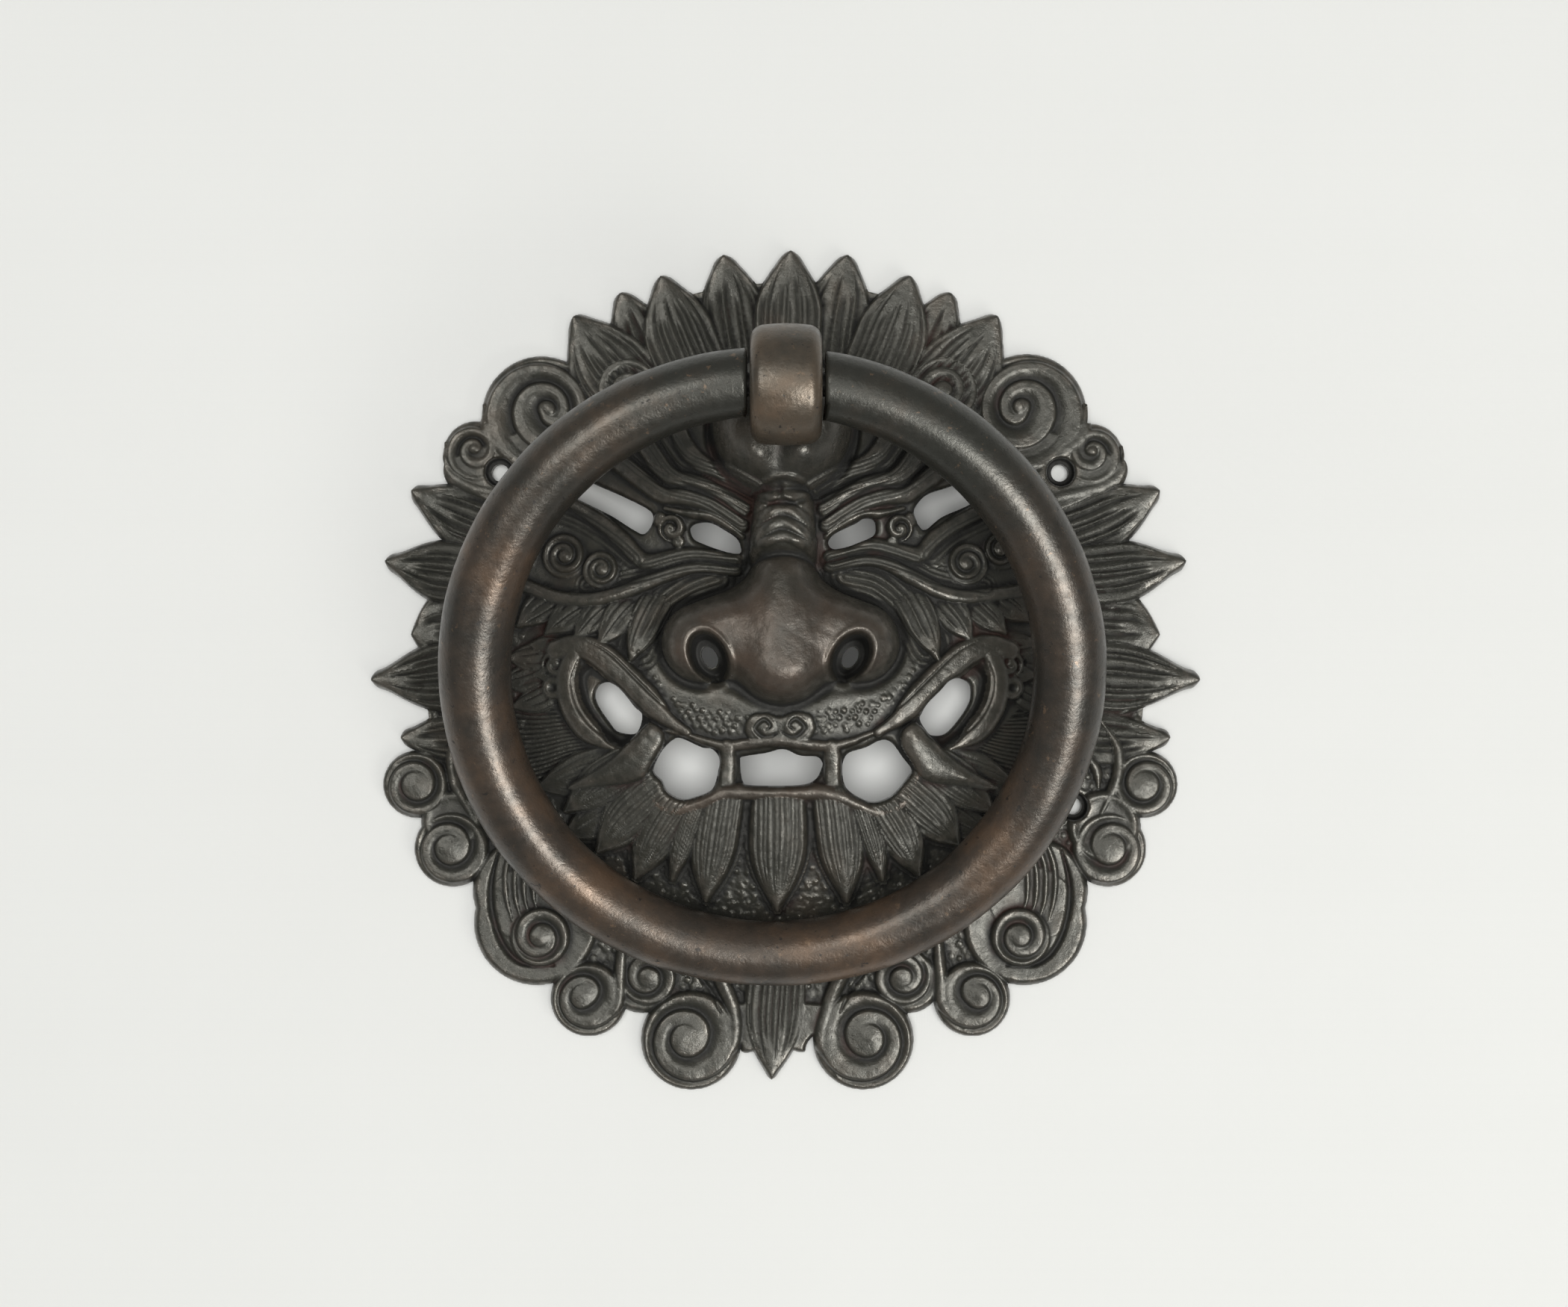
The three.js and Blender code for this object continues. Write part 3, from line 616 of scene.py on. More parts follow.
def mouth():
    upper = [(-41, 6), (-35, 5), (-31, -3), (-27, -6.4), (-18, -9), (-8, -10.6), (2, -10.4), (12, -9),
             (24, -6), (29, -2), (34, 5), (39, 5.4), (36, 0), (31.6, -7), (23, -13.6), (12, -16.6), (6, -17),
             (-9, -17), (-16, -16.8), (-27, -13.6), (-34, -8)]
    pebbled(upper, 2, 0.8, 0.45)
    plateau([(-10.4, -15), (-9, -11.4), (-5, -10.6), (-1.4, -11.6), (2.4, -10.4), (6.6, -11.2), (7.6, -15),
             (5, -18.4), (-1.4, -18.8), (-8, -18.4)], 1, 1.2)
    for x, y, wind in ((-5.6, -14.5, 1), (2.7, -14.3, -1)):
        boss((x, y), 3.7, 1.5, 0)
        turns = ((3.6, -1.2), (2.2, -2), (0, -2.3), (-2.2, 0), (0, 2.2), (1.8, 0.6), (0.6, -0.5))
        groove([(x + wind * right, y + up) for right, up in turns], 1.1, 1)
    bead([(-33.4, -14.8), (-26, -16.2), (-20, -18.2), (-15.2, -19.2), (-10, -18.6), (-2, -17.8), (6, -18.8),
          (11.4, -19.2), (17, -18), (22, -16), (28.6, -14)], 2.8, 1.3, warm=0.3)
    lower = [(-37, -24), (-36, -30), (-33, -34.6), (-28.4, -36.2), (-22.4, -34.2), (-15.7, -31.4), (-6, -31),
             (4, -31), (12, -31.6), (18.7, -34.4), (24.4, -36.6), (29.4, -35), (32.6, -31), (34.8, -25)]
    bead(lower, 4.4, 2.6, (0.5, 0.5), 0.2, warm=0.6)
    for tooth in ([(-15, -19.5), (-15, -25), (-15.2, -31)], [(12, -19.5), (12.2, -25), (12.4, -31)]):
        bead(tooth, 4.6, 1.6, (0.9, 0.9), sharp=3)


def tusks():
    hollow = [(55, -1), (51, 3), (45, 1.5), (40, -4), (35, -9.5), (35, -14), (39, -19), (43, -20.5),
              (50, -15), (54, -8)]
    fang = [(31.6, -15.4), (35.4, -13.4), (41, -18.8), (47, -24), (57, -30.6), (45.6, -29.8), (37.4, -28),
            (34, -23.4), (31.4, -19)]
    inner = [(60, 5.4), (55, 6.6), (49, 5), (42.2, -0.4), (36, -6.6), (31, -11.8), (25.4, -15.6)]
    outer = [(55, 5), (57.2, -1.5), (56.2, -8.5), (52.6, -14.4), (47.4, -18.6), (42.7, -20.6)]
    grooves = (([(54, 2.6), (55.4, -2.4), (54.2, -8.4), (50.6, -13.8), (46, -17.6)], 0.9, 0.7),
               ([(52, 8.4), (45.4, 4.6), (39.2, -1.2), (33, -7.2), (27.6, -12)], 0.8, 0.6))
    for sign, shift in ((-1, 0), (1, -1.6)):
        sink(mirror(hollow, sign, shift), 4.6, 2.6)
        plateau(mirror(fang, sign, shift), 2.6, 4.2, False, 1.9)
        bead(mirror(inner, sign, shift), 7, 2.7, (0.8, 0.35), 0.2, 3.5, 0.12)
        bead(mirror(outer, sign, shift), 5.8, 2.7, (0.9, 0.1), 0.1, 3, 0.12)
        for points, width, depth in grooves:
            groove(mirror(points, sign, shift), width, depth)
        knob, tip = mirror([(60.6, -4.3), (60, 1.8)], sign, shift)
        boss(knob, 3.2, 2, 1.2)
        curl(tip, 3.8, -sign, 1, 1.2, 2)


def beard():
    ground = [(-52, -34), (-36, -30), (-20, -36), (0, -33), (18, -36), (34, -30), (50, -34), (44, -52),
              (24, -62), (0, -66), (-26, -62), (-46, -52)]
    sink([(x * 1.12, y * 1.1 if y < -40 else y) for x, y in ground], 2.2, 4)
    pebbled(ground, 1.7, 0.8, 0.42, 1.1)
    for sign in (-1, 1):
        for x, y in ((64, -31), (57, -44)):
            leaf((sign * x - 2, y), (sign * x * 0.5 - 2, y * 0.5 - 6), 13, 0.5, 0.3, 1.2, 9, 0, 0.4, 1.2, 0.2)
    for tip, root, width, bow in (
        ((-58, -37), (-34, -21), 13, 1), ((54.6, -37), (32, -21), 13, -1),
        ((-49.4, -47.6), (-27, -26), 15, 1.5), ((45.4, -45.6), (25, -26), 15, -1.5),
        ((-29.6, -55), (-20, -28), 8, 1), ((25.4, -55), (17, -28), 8, -1),
        ((-39.4, -54.6), (-21, -25), 14, 1.5), ((35, -53.6), (18, -25), 14, -1.5),
        ((-20.8, -60.6), (-15, -26), 13, 0.6), ((16, -60.6), (11.5, -26), 13, -0.6),
        ((-2.2, -62.8), (-1.6, -25), 15.4, 0),
    ):
        leaf(tip, root, width, 0.5, 1.3, 1.8, 11, bow, 0.4, 1.2, 0.2)


def cheek_hair():
    patch = [(73, -10), (64, -7), (58, -12), (52, -18), (48, -22), (55, -28), (66, -31), (76, -24)]
    for sign in (-1, 1):
        combed(mirror(patch, sign), (sign * 22, -12), 1.1, 0.7)


FACE_HOLES = [  # four by the eyes, two at the tusks and three in the mouth
    [(-36.7, 35.7), (-34.5, 38.6), (-35.2, 41.6), (-41.9, 45.3), (-48.9, 48.5), (-58, 52.6), (-61.5, 50.4),
     (-59, 47.6), (-53.1, 44.4), (-45.6, 40.6), (-39.6, 36.8)],
    [(34.6, 37.8), (33.2, 41.1), (34.6, 43.9), (37.4, 46.2), (43.7, 48.5), (55, 54), (58.6, 52.4), (57, 49),
     (48.2, 43.6), (40.7, 40.1), (36.5, 36.8)],
    [(-24.6, 36.8), (-22.9, 38.2), (-19.4, 38.3), (-15.7, 36.4), (-12.4, 34), (-11.5, 30.8), (-13.3, 30.4),
     (-16.6, 31.2), (-21.3, 32.9), (-23.8, 34.3)],
    [(11, 33.1), (12.6, 35.4), (18.2, 38.2), (20.1, 39.4), (22.5, 39.2), (23.3, 37.3), (22.7, 35),
     (18.7, 33.1), (15.4, 31.9), (12.2, 31.6)],
    [(-49.8, -6.1), (-48.4, -3.5), (-45.6, -3), (-42.8, -4.7), (-39, -9.3), (-37.4, -11.2), (-37.9, -14.5),
     (-39.5, -16.4), (-43.7, -15.9), (-45.6, -14), (-48.9, -9.3)],
    [(35.1, -11.2), (36.5, -8.4), (39.8, -5.1), (42.6, -2.3), (45.4, -1.9), (47.9, -3.3), (48.4, -6.1),
     (47.7, -8.9), (44.9, -13.1), (41.6, -16.4), (38.4, -16.8), (37, -15.9), (35.1, -13.1)],
    [(-34.1, -24.8), (-32, -20.6), (-29.2, -17.8), (-26.9, -17.3), (-21.7, -19.6), (-18.9, -20.1),
     (-17.1, -22.4), (-17.3, -25.2), (-18.9, -30.4), (-23.2, -32.5), (-26.9, -33.2), (-30.6, -31.3),
     (-32, -28.5), (-33.9, -26.6)],
    [(-11.7, -22.9), (-11, -22), (-4.9, -21), (-1.6, -20.1), (0.5, -20.3), (3.7, -21.7), (8, -22),
     (9.4, -23.4), (9.4, -24.8), (7.7, -28), (3.3, -29.5), (-9.1, -29.5), (-11, -28.5), (-11.5, -26.6)],
    [(14.7, -25.2), (15, -22.9), (16.4, -21), (20.8, -19.6), (23.9, -18), (26.2, -17.8), (28.1, -19.2),
     (30.4, -22.4), (32.3, -24.8), (32.5, -26.2), (31.3, -28), (28.1, -31.8), (25.7, -33.2), (22.9, -33.9),
     (20.1, -33.2), (16.4, -30.9), (15, -28.5)],
]
SCREW_HOLES = [(-75.5, 52.4), (72.6, 52.4), (-76.1, -35.8), (76.1, -35.8)]
SCREW_RADIUS, SEAT_RADIUS, SEAT_HEIGHT = 2.3, 4.1, 3


def holes():
    for points in FACE_HOLES:
        opening(points)
    for centre in SCREW_HOLES:
        w, px, py = near_point(centre, 6)
        r = np.hypot(px, py)
        seat = smooth((SEAT_RADIUS - r) / 0.9)
        TOP[w] = TOP[w] * (1 - seat) + SEAT_HEIGHT * seat
        EDGE[w] = np.minimum(EDGE[w], r - SCREW_RADIUS)


def grain():
    for _ in range(14):
        angle, size = RNG.random() * pi, 2.5 + 9 * RNG.random()
        phase = RNG.random() * 6.28
        wave = np.sin((X * cos(angle) + Y * sin(angle)) * 2 * pi / size + phase)
        TOP[:] += 0.007 * size**0.5 * wave


# ---- mesh from the relief
RIM_HEIGHT = 2.6  # lowest place of the face at an outline
EDGE_THICK, FACE_THICK = 1.5, 1.6  # least thickness at an outline, and elsewhere


def blurred(field, passes, reach):
    out = field.copy()
    for _ in range(passes):
        for axis in (0, 1):
            out = (np.roll(out, reach, axis) + out + np.roll(out, -reach, axis)) / 3
    return out


def underside():
    edge = smooth((HOLLOW - np.hypot(X, Y)) / 4)
    return np.clip(np.minimum((FACE - WALL) * edge, TOP - FACE_THICK), 0, None)


def outline_cells(inner, code, count, back):
    """The cells that the outline cuts: their faces, walls and new points."""
    cell = inner[:-1, :-1].astype(int) + inner[1:, :-1] + inner[1:, 1:] + inner[:-1, 1:]
    crossing, top, low, faces, walls = {}, [], [], [], []

    def cross(a, b):
        key = (a, b) if a < b else (b, a)
        if key not in crossing:
            u = min(max(EDGE[a] / (EDGE[a] - EDGE[b]), 0.06), 0.94)
            x = X[a] + (X[b] - X[a]) * u
            y = Y[a] + (Y[b] - Y[a]) * u
            solid = a if inner[a] else b
            z = min(max(TOP[a] + (TOP[b] - TOP[a]) * u, RIM_HEIGHT), TOP[solid])
            crossing[key] = count + len(top)
            top.append((x, y, z))
            low.append((x, y, min(back[solid], z - EDGE_THICK)))
        return crossing[key]

    for i, j in zip(*np.nonzero((cell > 0) & (cell < 4))):
        corners = [(i, j), (i + 1, j), (i + 1, j + 1), (i, j + 1)]
        loop, leave, enter = [], [], []
        for k in range(4):
            a, b = corners[k], corners[(k + 1) % 4]
            if inner[a]:
                loop.append(int(code[a]))
            if inner[a] != inner[b]:
                v = cross(a, b)
                loop.append(v)
                (leave if inner[a] else enter).append(v)
        faces.append(loop)
        walls += zip(leave, enter if len(enter) == 1 else enter[1:] + enter[:1])
    return cell == 4, top, low, faces, walls


def split_quads(i, j, code):
    """Two triangles for each full cell, along the flatter diagonal."""
    a, b, c, d = code[i, j], code[i + 1, j], code[i + 1, j + 1], code[i, j + 1]
    flat = np.abs(TOP[i, j] - TOP[i + 1, j + 1]) < np.abs(TOP[i + 1, j] - TOP[i, j + 1])
    one = np.where(flat[:, None], np.stack([a, b, c], 1), np.stack([a, b, d], 1))
    two = np.where(flat[:, None], np.stack([a, c, d], 1), np.stack([b, c, d], 1))
    return np.vstack([one, two]).tolist()


def back_faces(full, code):
    """The underside, one face per block of cells where the whole block is solid."""
    block = 4
    m, n = full.shape[0] // block, full.shape[1] // block
    whole = full[: m * block, : n * block].reshape(m, block, n, block).all((1, 3))
    rest = full.copy()
    rest[: m * block, : n * block] &= ~np.kron(whole, np.ones((block, block), bool))
    faces = []
    near = np.pad(whole, 1)
    for p, q in zip(*np.nonzero(whole)):
        i, j = p * block, q * block
        around = ((near[p + 1, q], (1, 0)), (near[p + 2, q + 1], (0, 1)), (near[p + 1, q + 2], (-1, 0)),
                  (near[p, q + 1], (0, -1)))
        loop = []
        for merged, (di, dj) in around:
            for k in range(1 if merged else block):
                loop.append(int(code[i + di * k, j + dj * k]))
            i, j = i + di * block, j + dj * block
        faces.append(loop[::-1])
    i, j = np.nonzero(rest)
    faces += np.stack([code[i, j + 1], code[i + 1, j + 1], code[i + 1, j], code[i, j]], 1).tolist()
    return faces


def write_field(mesh, name, values):
    layer = mesh.attributes.new(name, "FLOAT", "POINT")
    layer.data.foreach_set("value", values.astype(np.float32))


def relief_mesh(name):
    """One closed mesh: the relief on top, its outline and holes as walls, and the hollow back."""
    back = underside()
    inner = EDGE > 0
    code = np.full(X.shape, -1)
    count = int(inner.sum())
    code[inner] = np.arange(count)
    full, cut_top, cut_low, cut_faces, walls = outline_cells(inner, code, count, back)
    top = np.vstack([np.stack([X[inner], Y[inner], TOP[inner]], 1), cut_top])
    low = np.vstack([np.stack([X[inner], Y[inner], back[inner]], 1), cut_low])
    n = len(top)
    faces = split_quads(*np.nonzero(full), code) + cut_faces
    smooth_count = len(faces)
    faces += back_faces(full, np.where(inner, code + n, -1))
    faces += [[v + n for v in reversed(loop)] for loop in cut_faces]
    faces += [[b, a, a + n, b + n] for a, b in walls]
    used = np.zeros(2 * n, bool)
    used[np.concatenate([np.array(f) for f in faces])] = True
    number = np.cumsum(used) - 1
    points = np.vstack([top, low])[used] * MM
    mesh = bpy.data.meshes.new(name)
    mesh.from_pydata(points.tolist(), [], [[int(number[v]) for v in f] for f in faces])
    mesh.polygons.foreach_set("use_smooth", np.arange(len(faces)) < smooth_count)
    fields = {"recess": blurred(TOP, 4, 2) - TOP, "strand": STRAND, "comb": COMB, "warm": WARM}
    for key, field in fields.items():
        values = np.zeros(2 * n)
        values[:count] = field[inner]
        write_field(mesh, key, values[used])
    return mesh


def put(name, data):
    obj = bpy.data.objects.new(name, data)
    scene.collection.objects.link(obj)
    return obj


def add(name, mesh, material, body, node=None):
    """Puts a mesh on its body, in place of a CAD node if one is given."""
    obj = put(name, mesh)
    mesh.materials.append(material)
    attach(obj, body)
    if node:
        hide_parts(node)


# ---- ring, knuckle and pin
TILT = radians(15.6)  # how far the ring slopes down from the pin to the beard


def tube_mesh(name, rings):
    """Quads through closed loops of points, with flat caps."""
    rings = np.array(rings)
    m, n, _ = rings.shape
    faces = []
    for i in range(m - 1):
        for j in range(n):
            k = (j + 1) % n
            faces.append([i * n + j, (i + 1) * n + j, (i + 1) * n + k, i * n + k])
    faces += [list(range(n)), [(m - 1) * n + j for j in range(n - 1, -1, -1)]]
    mesh = bpy.data.meshes.new(name)
    mesh.from_pydata((rings.reshape(-1, 3) * MM).tolist(), [], faces)
    mesh.polygons.foreach_set("use_smooth", np.ones(len(faces), bool))
    return mesh


def turned_mesh(name, profile, sides, place, upright=False):
    """Turned about a line along X, or an upright one: pairs of a place along it and a radius."""
    a = np.linspace(0, 2 * pi, sides, endpoint=False)
    rows = np.array([np.stack([np.full(sides, at), r * np.cos(a), r * np.sin(a)], 1) for at, r in profile])
    return tube_mesh(name, (rows[..., [1, 2, 0]] if upright else rows) + place)


def tilted(p):
    """From the ring's own frame to the object's."""
    c, s = cos(TILT), sin(TILT)
    x, y, z = p[..., 0], p[..., 1], p[..., 2]
    return np.stack([x, y * c - z * s, y * s + z * c], -1) + PIVOT


def ring_mesh():
    """A slightly uneven bar, cut flat where the knuckle stands."""
    radius, drop, shift = 74.6, 73.75, -3.5  # of the bar's middle, and its centre from the pin
    cut, bevel, inset = 9.5, 0.5, 0.93  # half the gap, and the softened edge of each end
    bar, swell = 8.35, 0.75  # radius of the bar at the top and bottom, and what the sides add
    steps, sides = 420, 72
    first = asin((cut - shift) / radius)
    last = 2 * pi - asin((cut + shift) / radius)
    rows = []
    turn = np.linspace(0, 2 * pi, sides, endpoint=False)
    for k in range(steps + 1):
        a = first + (last - first) * k / steps
        wobble = 0.07 * np.sin(3 * turn + 5 * a) + 0.06 * sin(9 * a + 1) + 0.04 * sin(23 * a)
        r = bar + swell * abs(sin(a)) ** 1.5 + wobble
        mid = np.array([sin(a) * radius + shift, cos(a) * radius - drop, 0])
        out = np.array([sin(a), cos(a), 0])
        rows.append(mid + np.outer(r * np.cos(turn), out) + np.outer(r * np.sin(turn), [0, 0, 1]))
    rows = np.array(rows)
    ends = []
    for end, sign in ((0, 1), (-1, -1)):
        rows[end, :, 0] = sign * cut
        centre = rows[end].mean(0)
        ends.append(centre + (rows[end] - centre) * inset)
        rows[end, :, 0] = sign * (cut + bevel)
    rows = np.concatenate([[ends[0]], rows, [ends[1]]])
    mesh = tube_mesh("ring", tilted(rows))
    along = np.linspace(0, 1, len(rows))
    wear = smooth((np.minimum(along, 1 - along) - 0.05) / 0.14)
    write_field(mesh, "wear", np.repeat(wear, sides))
    return mesh


def knuckle_mesh():
    half, radius, soft, full = 8.7, 14.8, 3.4, 0.35
    profile = [(-half, 3.4), (-half, radius - soft - 1.0)]
    for k in range(9):
        a = pi / 2 * (k / 8)
        profile.append((-half + soft * (1 - cos(a)), radius - soft - full + soft * sin(a)))
    for k in range(1, 8):
        x = (-half + soft) + 2 * (half - soft) * k / 8
        profile.append((x, radius - full * (x / (half - soft)) ** 2))
    profile += [(-x, r) for x, r in profile[:11][::-1]]
    return turned_mesh("knuckle", profile, 96, PIVOT)


def neck_mesh():
    profile = [(22, 5), (40, 5), (40.3, 8.2), (41, 8.5), (50, 8.5)]
    return turned_mesh("knuckle_neck", profile, 48, PIVOT * [1, 1, 0], upright=True)


def pin_mesh():
    half, radius, bevel = 19, 3, 0.4
    end = [(half - bevel, radius), (half, radius - bevel)]
    return turned_mesh("pin", [(-x, r) for x, r in end[::-1]] + end, 32, PIVOT)


# ---- materials
class Nodes:
    """A short way to write a material's nodes."""

    def __init__(self, name):
        self.material = bpy.data.materials.new(name)
        self.material.use_nodes = True
        self.tree = self.material.node_tree
        self.shader = self.tree.nodes["Principled BSDF"]

    def feed(self, node, inputs):
        """Links a node's inputs to other nodes, or sets them to a number or a colour."""
        for key, value in inputs.items():
            if isinstance(value, bpy.types.NodeSocket):
                self.tree.links.new(value, node.inputs[key])
            else:
                node.inputs[key].default_value = (*value, 1) if isinstance(value, tuple) else value

    def make(self, kind, inputs, **settings):
        node = self.tree.nodes.new(kind)
        for key, value in settings.items():
            setattr(node, key, value)
        self.feed(node, inputs)
        return node

    def place(self):
        return self.make("ShaderNodeNewGeometry", {}).outputs["Position"]

    def noise(self, scale, detail, rough=0.55):
        inputs = {"Vector": self.place(), "Scale": scale, "Detail": detail, "Roughness": rough}
        return self.make("ShaderNodeTexNoise", inputs).outputs["Fac"]

    def ramp(self, value, *stops):
        node = self.make("ShaderNodeValToRGB", {"Fac": value})
        ramp = node.color_ramp
        while len(ramp.elements) < len(stops):
            ramp.elements.new(0.5)
        for element, (at, color) in zip(ramp.elements, stops):
            element.position = at
            element.color = (*color, 1)
        return node.outputs["Color"]

    def mix(self, factor, a, b):
        return self.make("ShaderNodeMix", {0: factor, 6: a, 7: b}, data_type="RGBA").outputs[2]

    def math(self, kind, a, b=0, clamp=False):
        return self.make("ShaderNodeMath", {0: a, 1: b}, operation=kind, use_clamp=clamp).outputs[0]

    def times(self, a, b):
        return self.math("MULTIPLY", a, b)

    def plus(self, a, b, clamp=False):
        return self.math("ADD", a, b, clamp)

    def span(self, value, low, high, out_low=0, out_high=1):
        inputs = {"Value": value, "From Min": low, "From Max": high, "To Min": out_low, "To Max": out_high}
        return self.make("ShaderNodeMapRange", inputs).outputs[0]

    def attribute(self, name):
        return self.make("ShaderNodeAttribute", {}, attribute_name=name).outputs["Fac"]

    def bump(self, height, strength, distance, normal=None):
        inputs = {"Height": height, "Strength": strength, "Distance": distance}
        if normal:
            inputs["Normal"] = normal
        return self.make("ShaderNodeBump", inputs).outputs["Normal"]

    def finish(self, color, rough, normal, metal=0, shine=0.5):
        self.feed(self.shader, {"Base Color": color, "Roughness": rough, "Normal": normal, "Metallic": metal,
                                "Specular IOR Level": shine})
        return self.material


def mask_bronze():
    """Painted shade makes hollows and hair-line grooves near black; a painted highlight, partly real wear,
    brightens crests; brown where handled.
    """
    n = Nodes("mask_bronze")
    recess, warm, comb = n.attribute("recess"), n.attribute("warm"), n.attribute("comb")
    patch, fine, pits = n.noise(55, 5, 0.6), n.noise(650, 4, 0.6), n.noise(2200, 3, 0.6)
    dark, bronze, tan = (0.028, 0.028, 0.022), (0.04, 0.039, 0.031), (0.062, 0.051, 0.038)
    base = n.ramp(patch, (0.3, dark), (0.55, bronze), (0.75, tan))
    brown = n.ramp(patch, (0.35, (0.058, 0.046, 0.036)), (0.65, (0.09, 0.062, 0.044)))
    color = n.mix(n.times(warm, n.span(patch, 0.35, 0.6, 0.5, 1)), base, brown)
    turn = n.times(n.attribute("strand"), pi)
    hair = n.math("POWER", n.math("ABSOLUTE", n.math("COSINE", turn)), 0.5)
    # painted shade: the grooves between hair lines and the hollows (high recess) are darkened to near black
    # in place of occlusion
    groove_shade = n.times(n.math("SUBTRACT", 1, hair), n.span(comb, 0, 0.5, 0, 0.75))
    painted_shade = n.math("MAXIMUM", n.span(recess, 0, 0.5), groove_shade, True)
    color = n.mix(painted_shade, color, (0.008, 0.008, 0.007))
    rust = n.times(n.span(n.noise(38, 3, 0.6), 0.56, 0.66), n.span(recess, 0.05, 0.5))
    color = n.mix(n.times(rust, 0.35), color, (0.06, 0.02, 0.012))
    worn = n.span(n.noise(330, 4, 0.6), 0.38, 0.62)
    # painted highlight, partly real wear: raised crests are lightened where the wear noise allows
    crest = n.times(n.span(recess, -0.08, -0.5), n.times(worn, n.span(comb, 0.1, 0.4, 1, 0.2)))
    color = n.mix(n.times(crest, 0.5), color, (0.13, 0.115, 0.095))
    rough = n.math("SUBTRACT", n.span(fine, 0.3, 0.7, 0.3, 0.46), n.times(crest, 0.1))
    rough = n.plus(rough, n.times(warm, 0.05))
    rough = n.plus(rough, n.span(comb, 0.1, 0.4, 0, 0.2))
    rough = n.plus(rough, n.times(painted_shade, 0.35))
    lines = n.bump(n.times(hair, n.times(comb, n.span(worn, 0, 1, 0.3, 1))), 1, 0.0005)
    dents = n.bump(n.noise(260, 3, 0.5), 0.2, 0.0006, lines)
    cast = n.bump(n.plus(n.times(fine, 0.75), n.times(pits, 0.25)), 0.55, 0.0004, dents)
    return n.finish(color, rough, cast, 0.3, 0.7)


def worn_bronze(name, dark, brown, light, duller=None):
    """Bronze browned by handling; a "wear" attribute of 0 keeps the duller colour."""
    n = Nodes(name)
    patch, fine, pits = n.noise(34, 5, 0.65), n.noise(480, 4, 0.6), n.noise(1500, 2, 0.5)
    color = n.ramp(patch, (0.36, dark), (0.52, brown), (0.66, light))
    if duller:
        wear = n.plus(n.attribute("wear"), n.span(patch, 0.3, 0.7, -0.3, 0.3), True)
        color = n.mix(wear, duller, color)
    fleck = n.span(n.noise(300, 4, 0.75), 0.63, 0.7)
    color = n.mix(n.times(fleck, 0.5), color, (0.2, 0.13, 0.08))
    spot = n.span(n.noise(420, 3, 0.7), 0.36, 0.3)
    color = n.mix(n.times(spot, 0.8), color, (0.01, 0.009, 0.008))
    rough = n.plus(n.span(fine, 0.3, 0.7, 0.26, 0.4), n.times(spot, 0.2))
    dents = n.bump(n.noise(90, 3, 0.5), 0.15, 0.0006)
    cast = n.bump(n.plus(n.times(fine, 0.7), n.times(pits, 0.3)), 0.5, 0.0003, dents)
    return n.finish(color, rough, cast, 0.35, 0.6)


def dull_steel():
    n = Nodes("dull_steel")
    color = n.ramp(n.noise(220, 4), (0.3, (0.06, 0.058, 0.053)), (0.7, (0.15, 0.145, 0.135)))
    rough = n.span(n.noise(700, 3), 0.3, 0.7, 0.35, 0.55)
    return n.finish(color, rough, n.bump(n.noise(900, 2), 0.2, 0.0002), 0.85)


def pale_cloth():
    n = Nodes("pale_cloth")
    separate = n.make("ShaderNodeSeparateXYZ", {0: n.place()})
    across, up = (n.math("SINE", n.times(separate.outputs[k], 9000)) for k in (0, 1))
    color = n.ramp(n.noise(6, 3), (0.3, (0.795, 0.8, 0.775)), (0.7, (0.815, 0.82, 0.795)))
    return n.finish(color, 0.9, n.bump(n.plus(across, up), 0.05, 0.0001), shine=0.2)


# ---- build; later pieces of the relief cover or cut the earlier ones
for piece in (plate, top_leaves, side_leaves, lower_scrolls, chin, upper_scrolls, cheek_hair, beard,
              brows, cheeks, eyes, nose, wrinkles, forehead, mouth, tusks, grain, holes):
    piece()
steel = dull_steel()
ring_look = worn_bronze("ring_bronze", (0.036, 0.032, 0.027), (0.068, 0.051, 0.038), (0.115, 0.074, 0.047),
                        (0.036, 0.036, 0.03))
knuckle_look = worn_bronze("knuckle_bronze", (0.064, 0.056, 0.044), (0.105, 0.08, 0.056),
                           (0.145, 0.098, 0.064))
add("mask", relief_mesh("mask"), mask_bronze(), "mask", "mask_casting")
add("ring", ring_mesh(), ring_look, "ring", "knocker_ring")
add("knuckle", knuckle_mesh(), knuckle_look, "mask", "ring_knuckle")
add("knuckle_neck", neck_mesh(), knuckle_look, "mask")
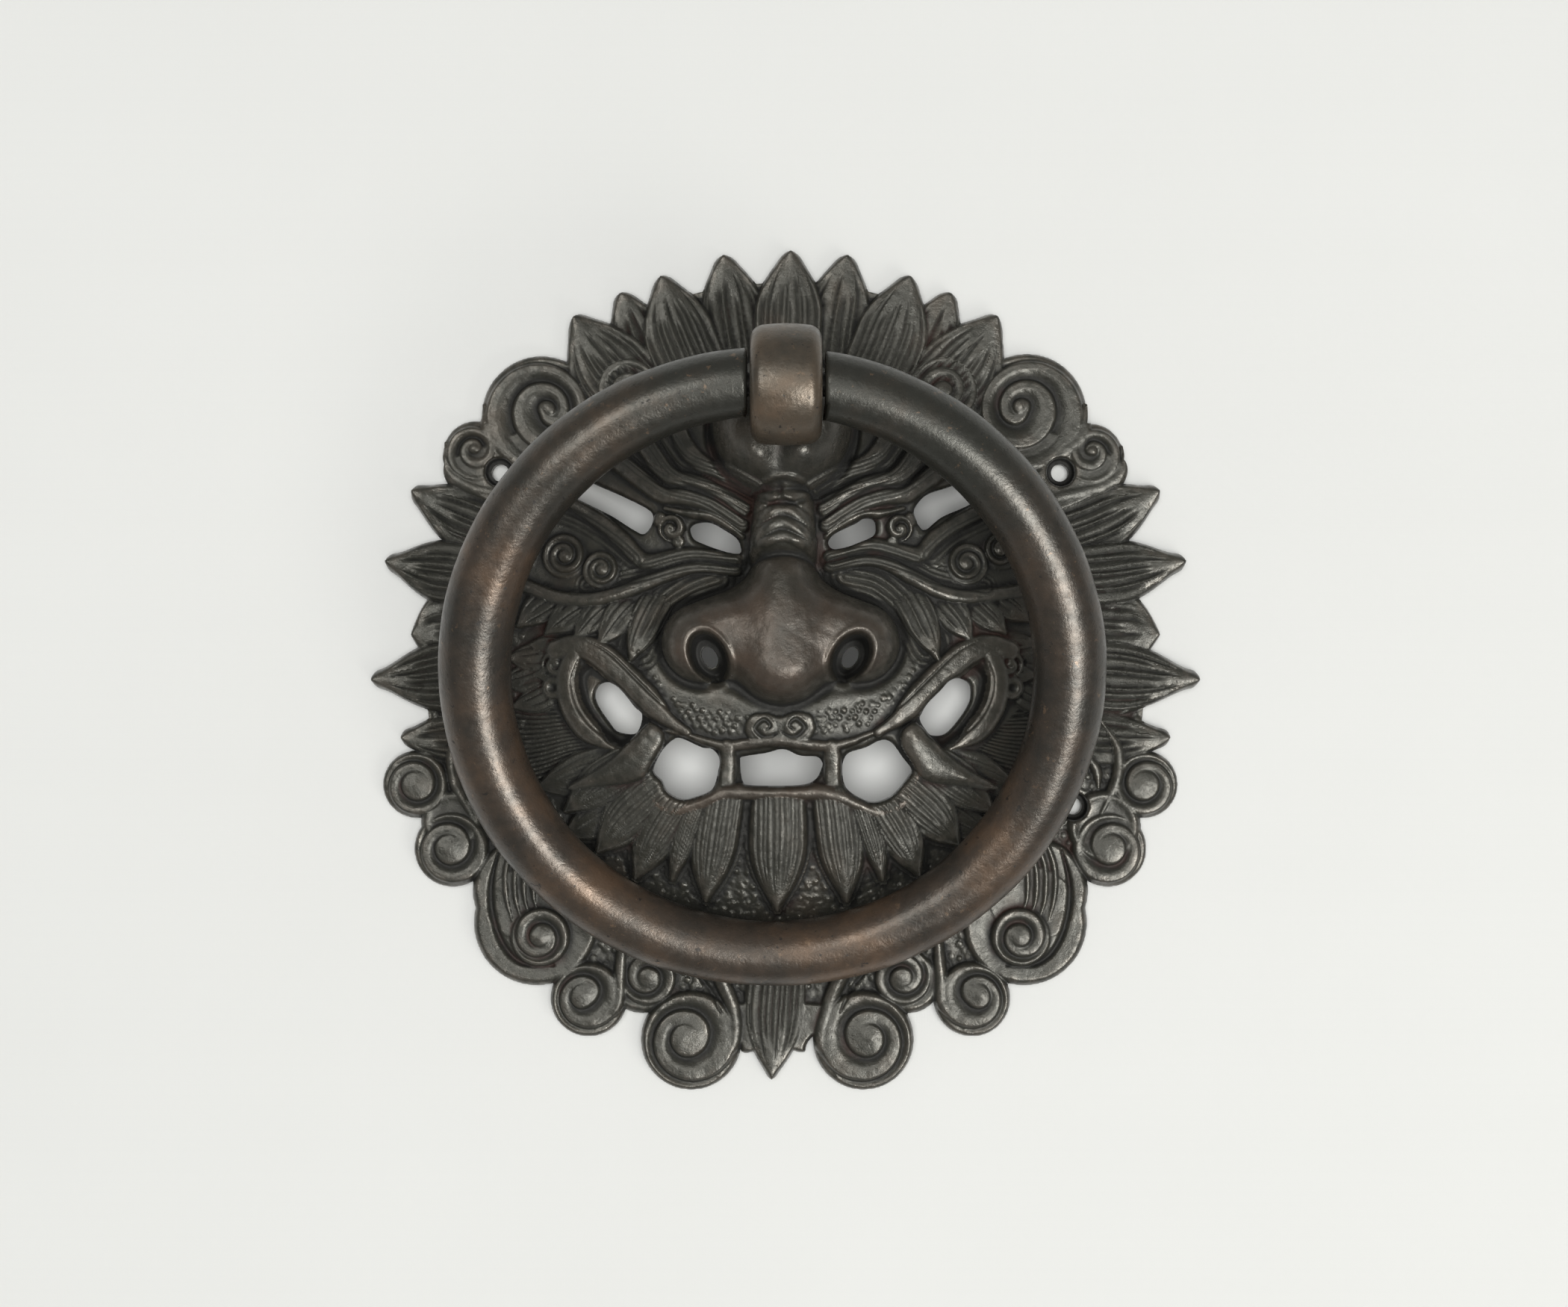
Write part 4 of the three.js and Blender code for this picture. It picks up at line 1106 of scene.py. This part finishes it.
add("pin", pin_mesh(), steel, "mask", "hinge_pin")
for node in ("knuckle_washer", "knuckle_nut"):
    frame["nodes"][node].data.materials.clear()
    frame["nodes"][node].data.materials.append(steel)

# ---- floor, light and camera, in metres
WARM_WHITE = (1, 0.985, 0.93)
SENSOR = 36  # its width, in millimetres
CAMERA = (-0.0004, 0.0046, 0.7)
VIEW_WIDTH = 0.417  # what the picture takes in on the floor


def floor():
    mesh = bpy.data.meshes.new("floor")
    s, z = 1.5, -0.0001
    mesh.from_pydata([(-s, -s, z), (s, -s, z), (s, s, z), (-s, s, z)], [], [(0, 1, 2, 3)])
    mesh.materials.append(pale_cloth())
    put("floor", mesh)


def softbox(name, place, size, power, on_floor=True):
    """A round lamp that faces the mask; off the floor, it only makes reflections."""
    light = bpy.data.lights.new(name, "AREA")
    light.shape = "DISK"
    light.size = size
    light.energy = power
    light.color = WARM_WHITE
    obj = put(name, light)
    obj.location = place
    obj.rotation_euler = (-Vector(place)).to_track_quat("-Z", "Y").to_euler()
    obj.visible_diffuse = on_floor


def overhead(power):
    """Soft light from straight above that brightens the floor and leaves no glint."""
    light = bpy.data.lights.new("overhead", "SUN")
    light.angle = radians(37)
    light.energy = power
    put("overhead", light).visible_glossy = False


def camera():
    data = bpy.data.cameras.new("camera")
    data.sensor_width = SENSOR
    data.lens = SENSOR * CAMERA[2] / VIEW_WIDTH
    obj = put("camera", data)
    obj.location = CAMERA
    scene.camera = obj


def sky(strength):
    world = bpy.data.worlds.new("world")
    world.use_nodes = True
    background = world.node_tree.nodes["Background"]
    background.inputs[0].default_value = (1, 1, 0.98, 1)
    background.inputs[1].default_value = strength
    scene.world = world


floor()
overhead(2.35)
softbox("key", (0.42, -0.38, 0.75), 0.45, 1.1)
softbox("glint", (0.38, -0.32, 0.8), 0.42, 7.5, False)
softbox("left glint", (-0.38, 0.16, 0.85), 0.4, 2.6, False)
softbox("sheen", (0, 0.12, 1.2), 1.1, 3.2, False)
sky(0.2)
camera()
scene.view_settings.view_transform = "Standard"
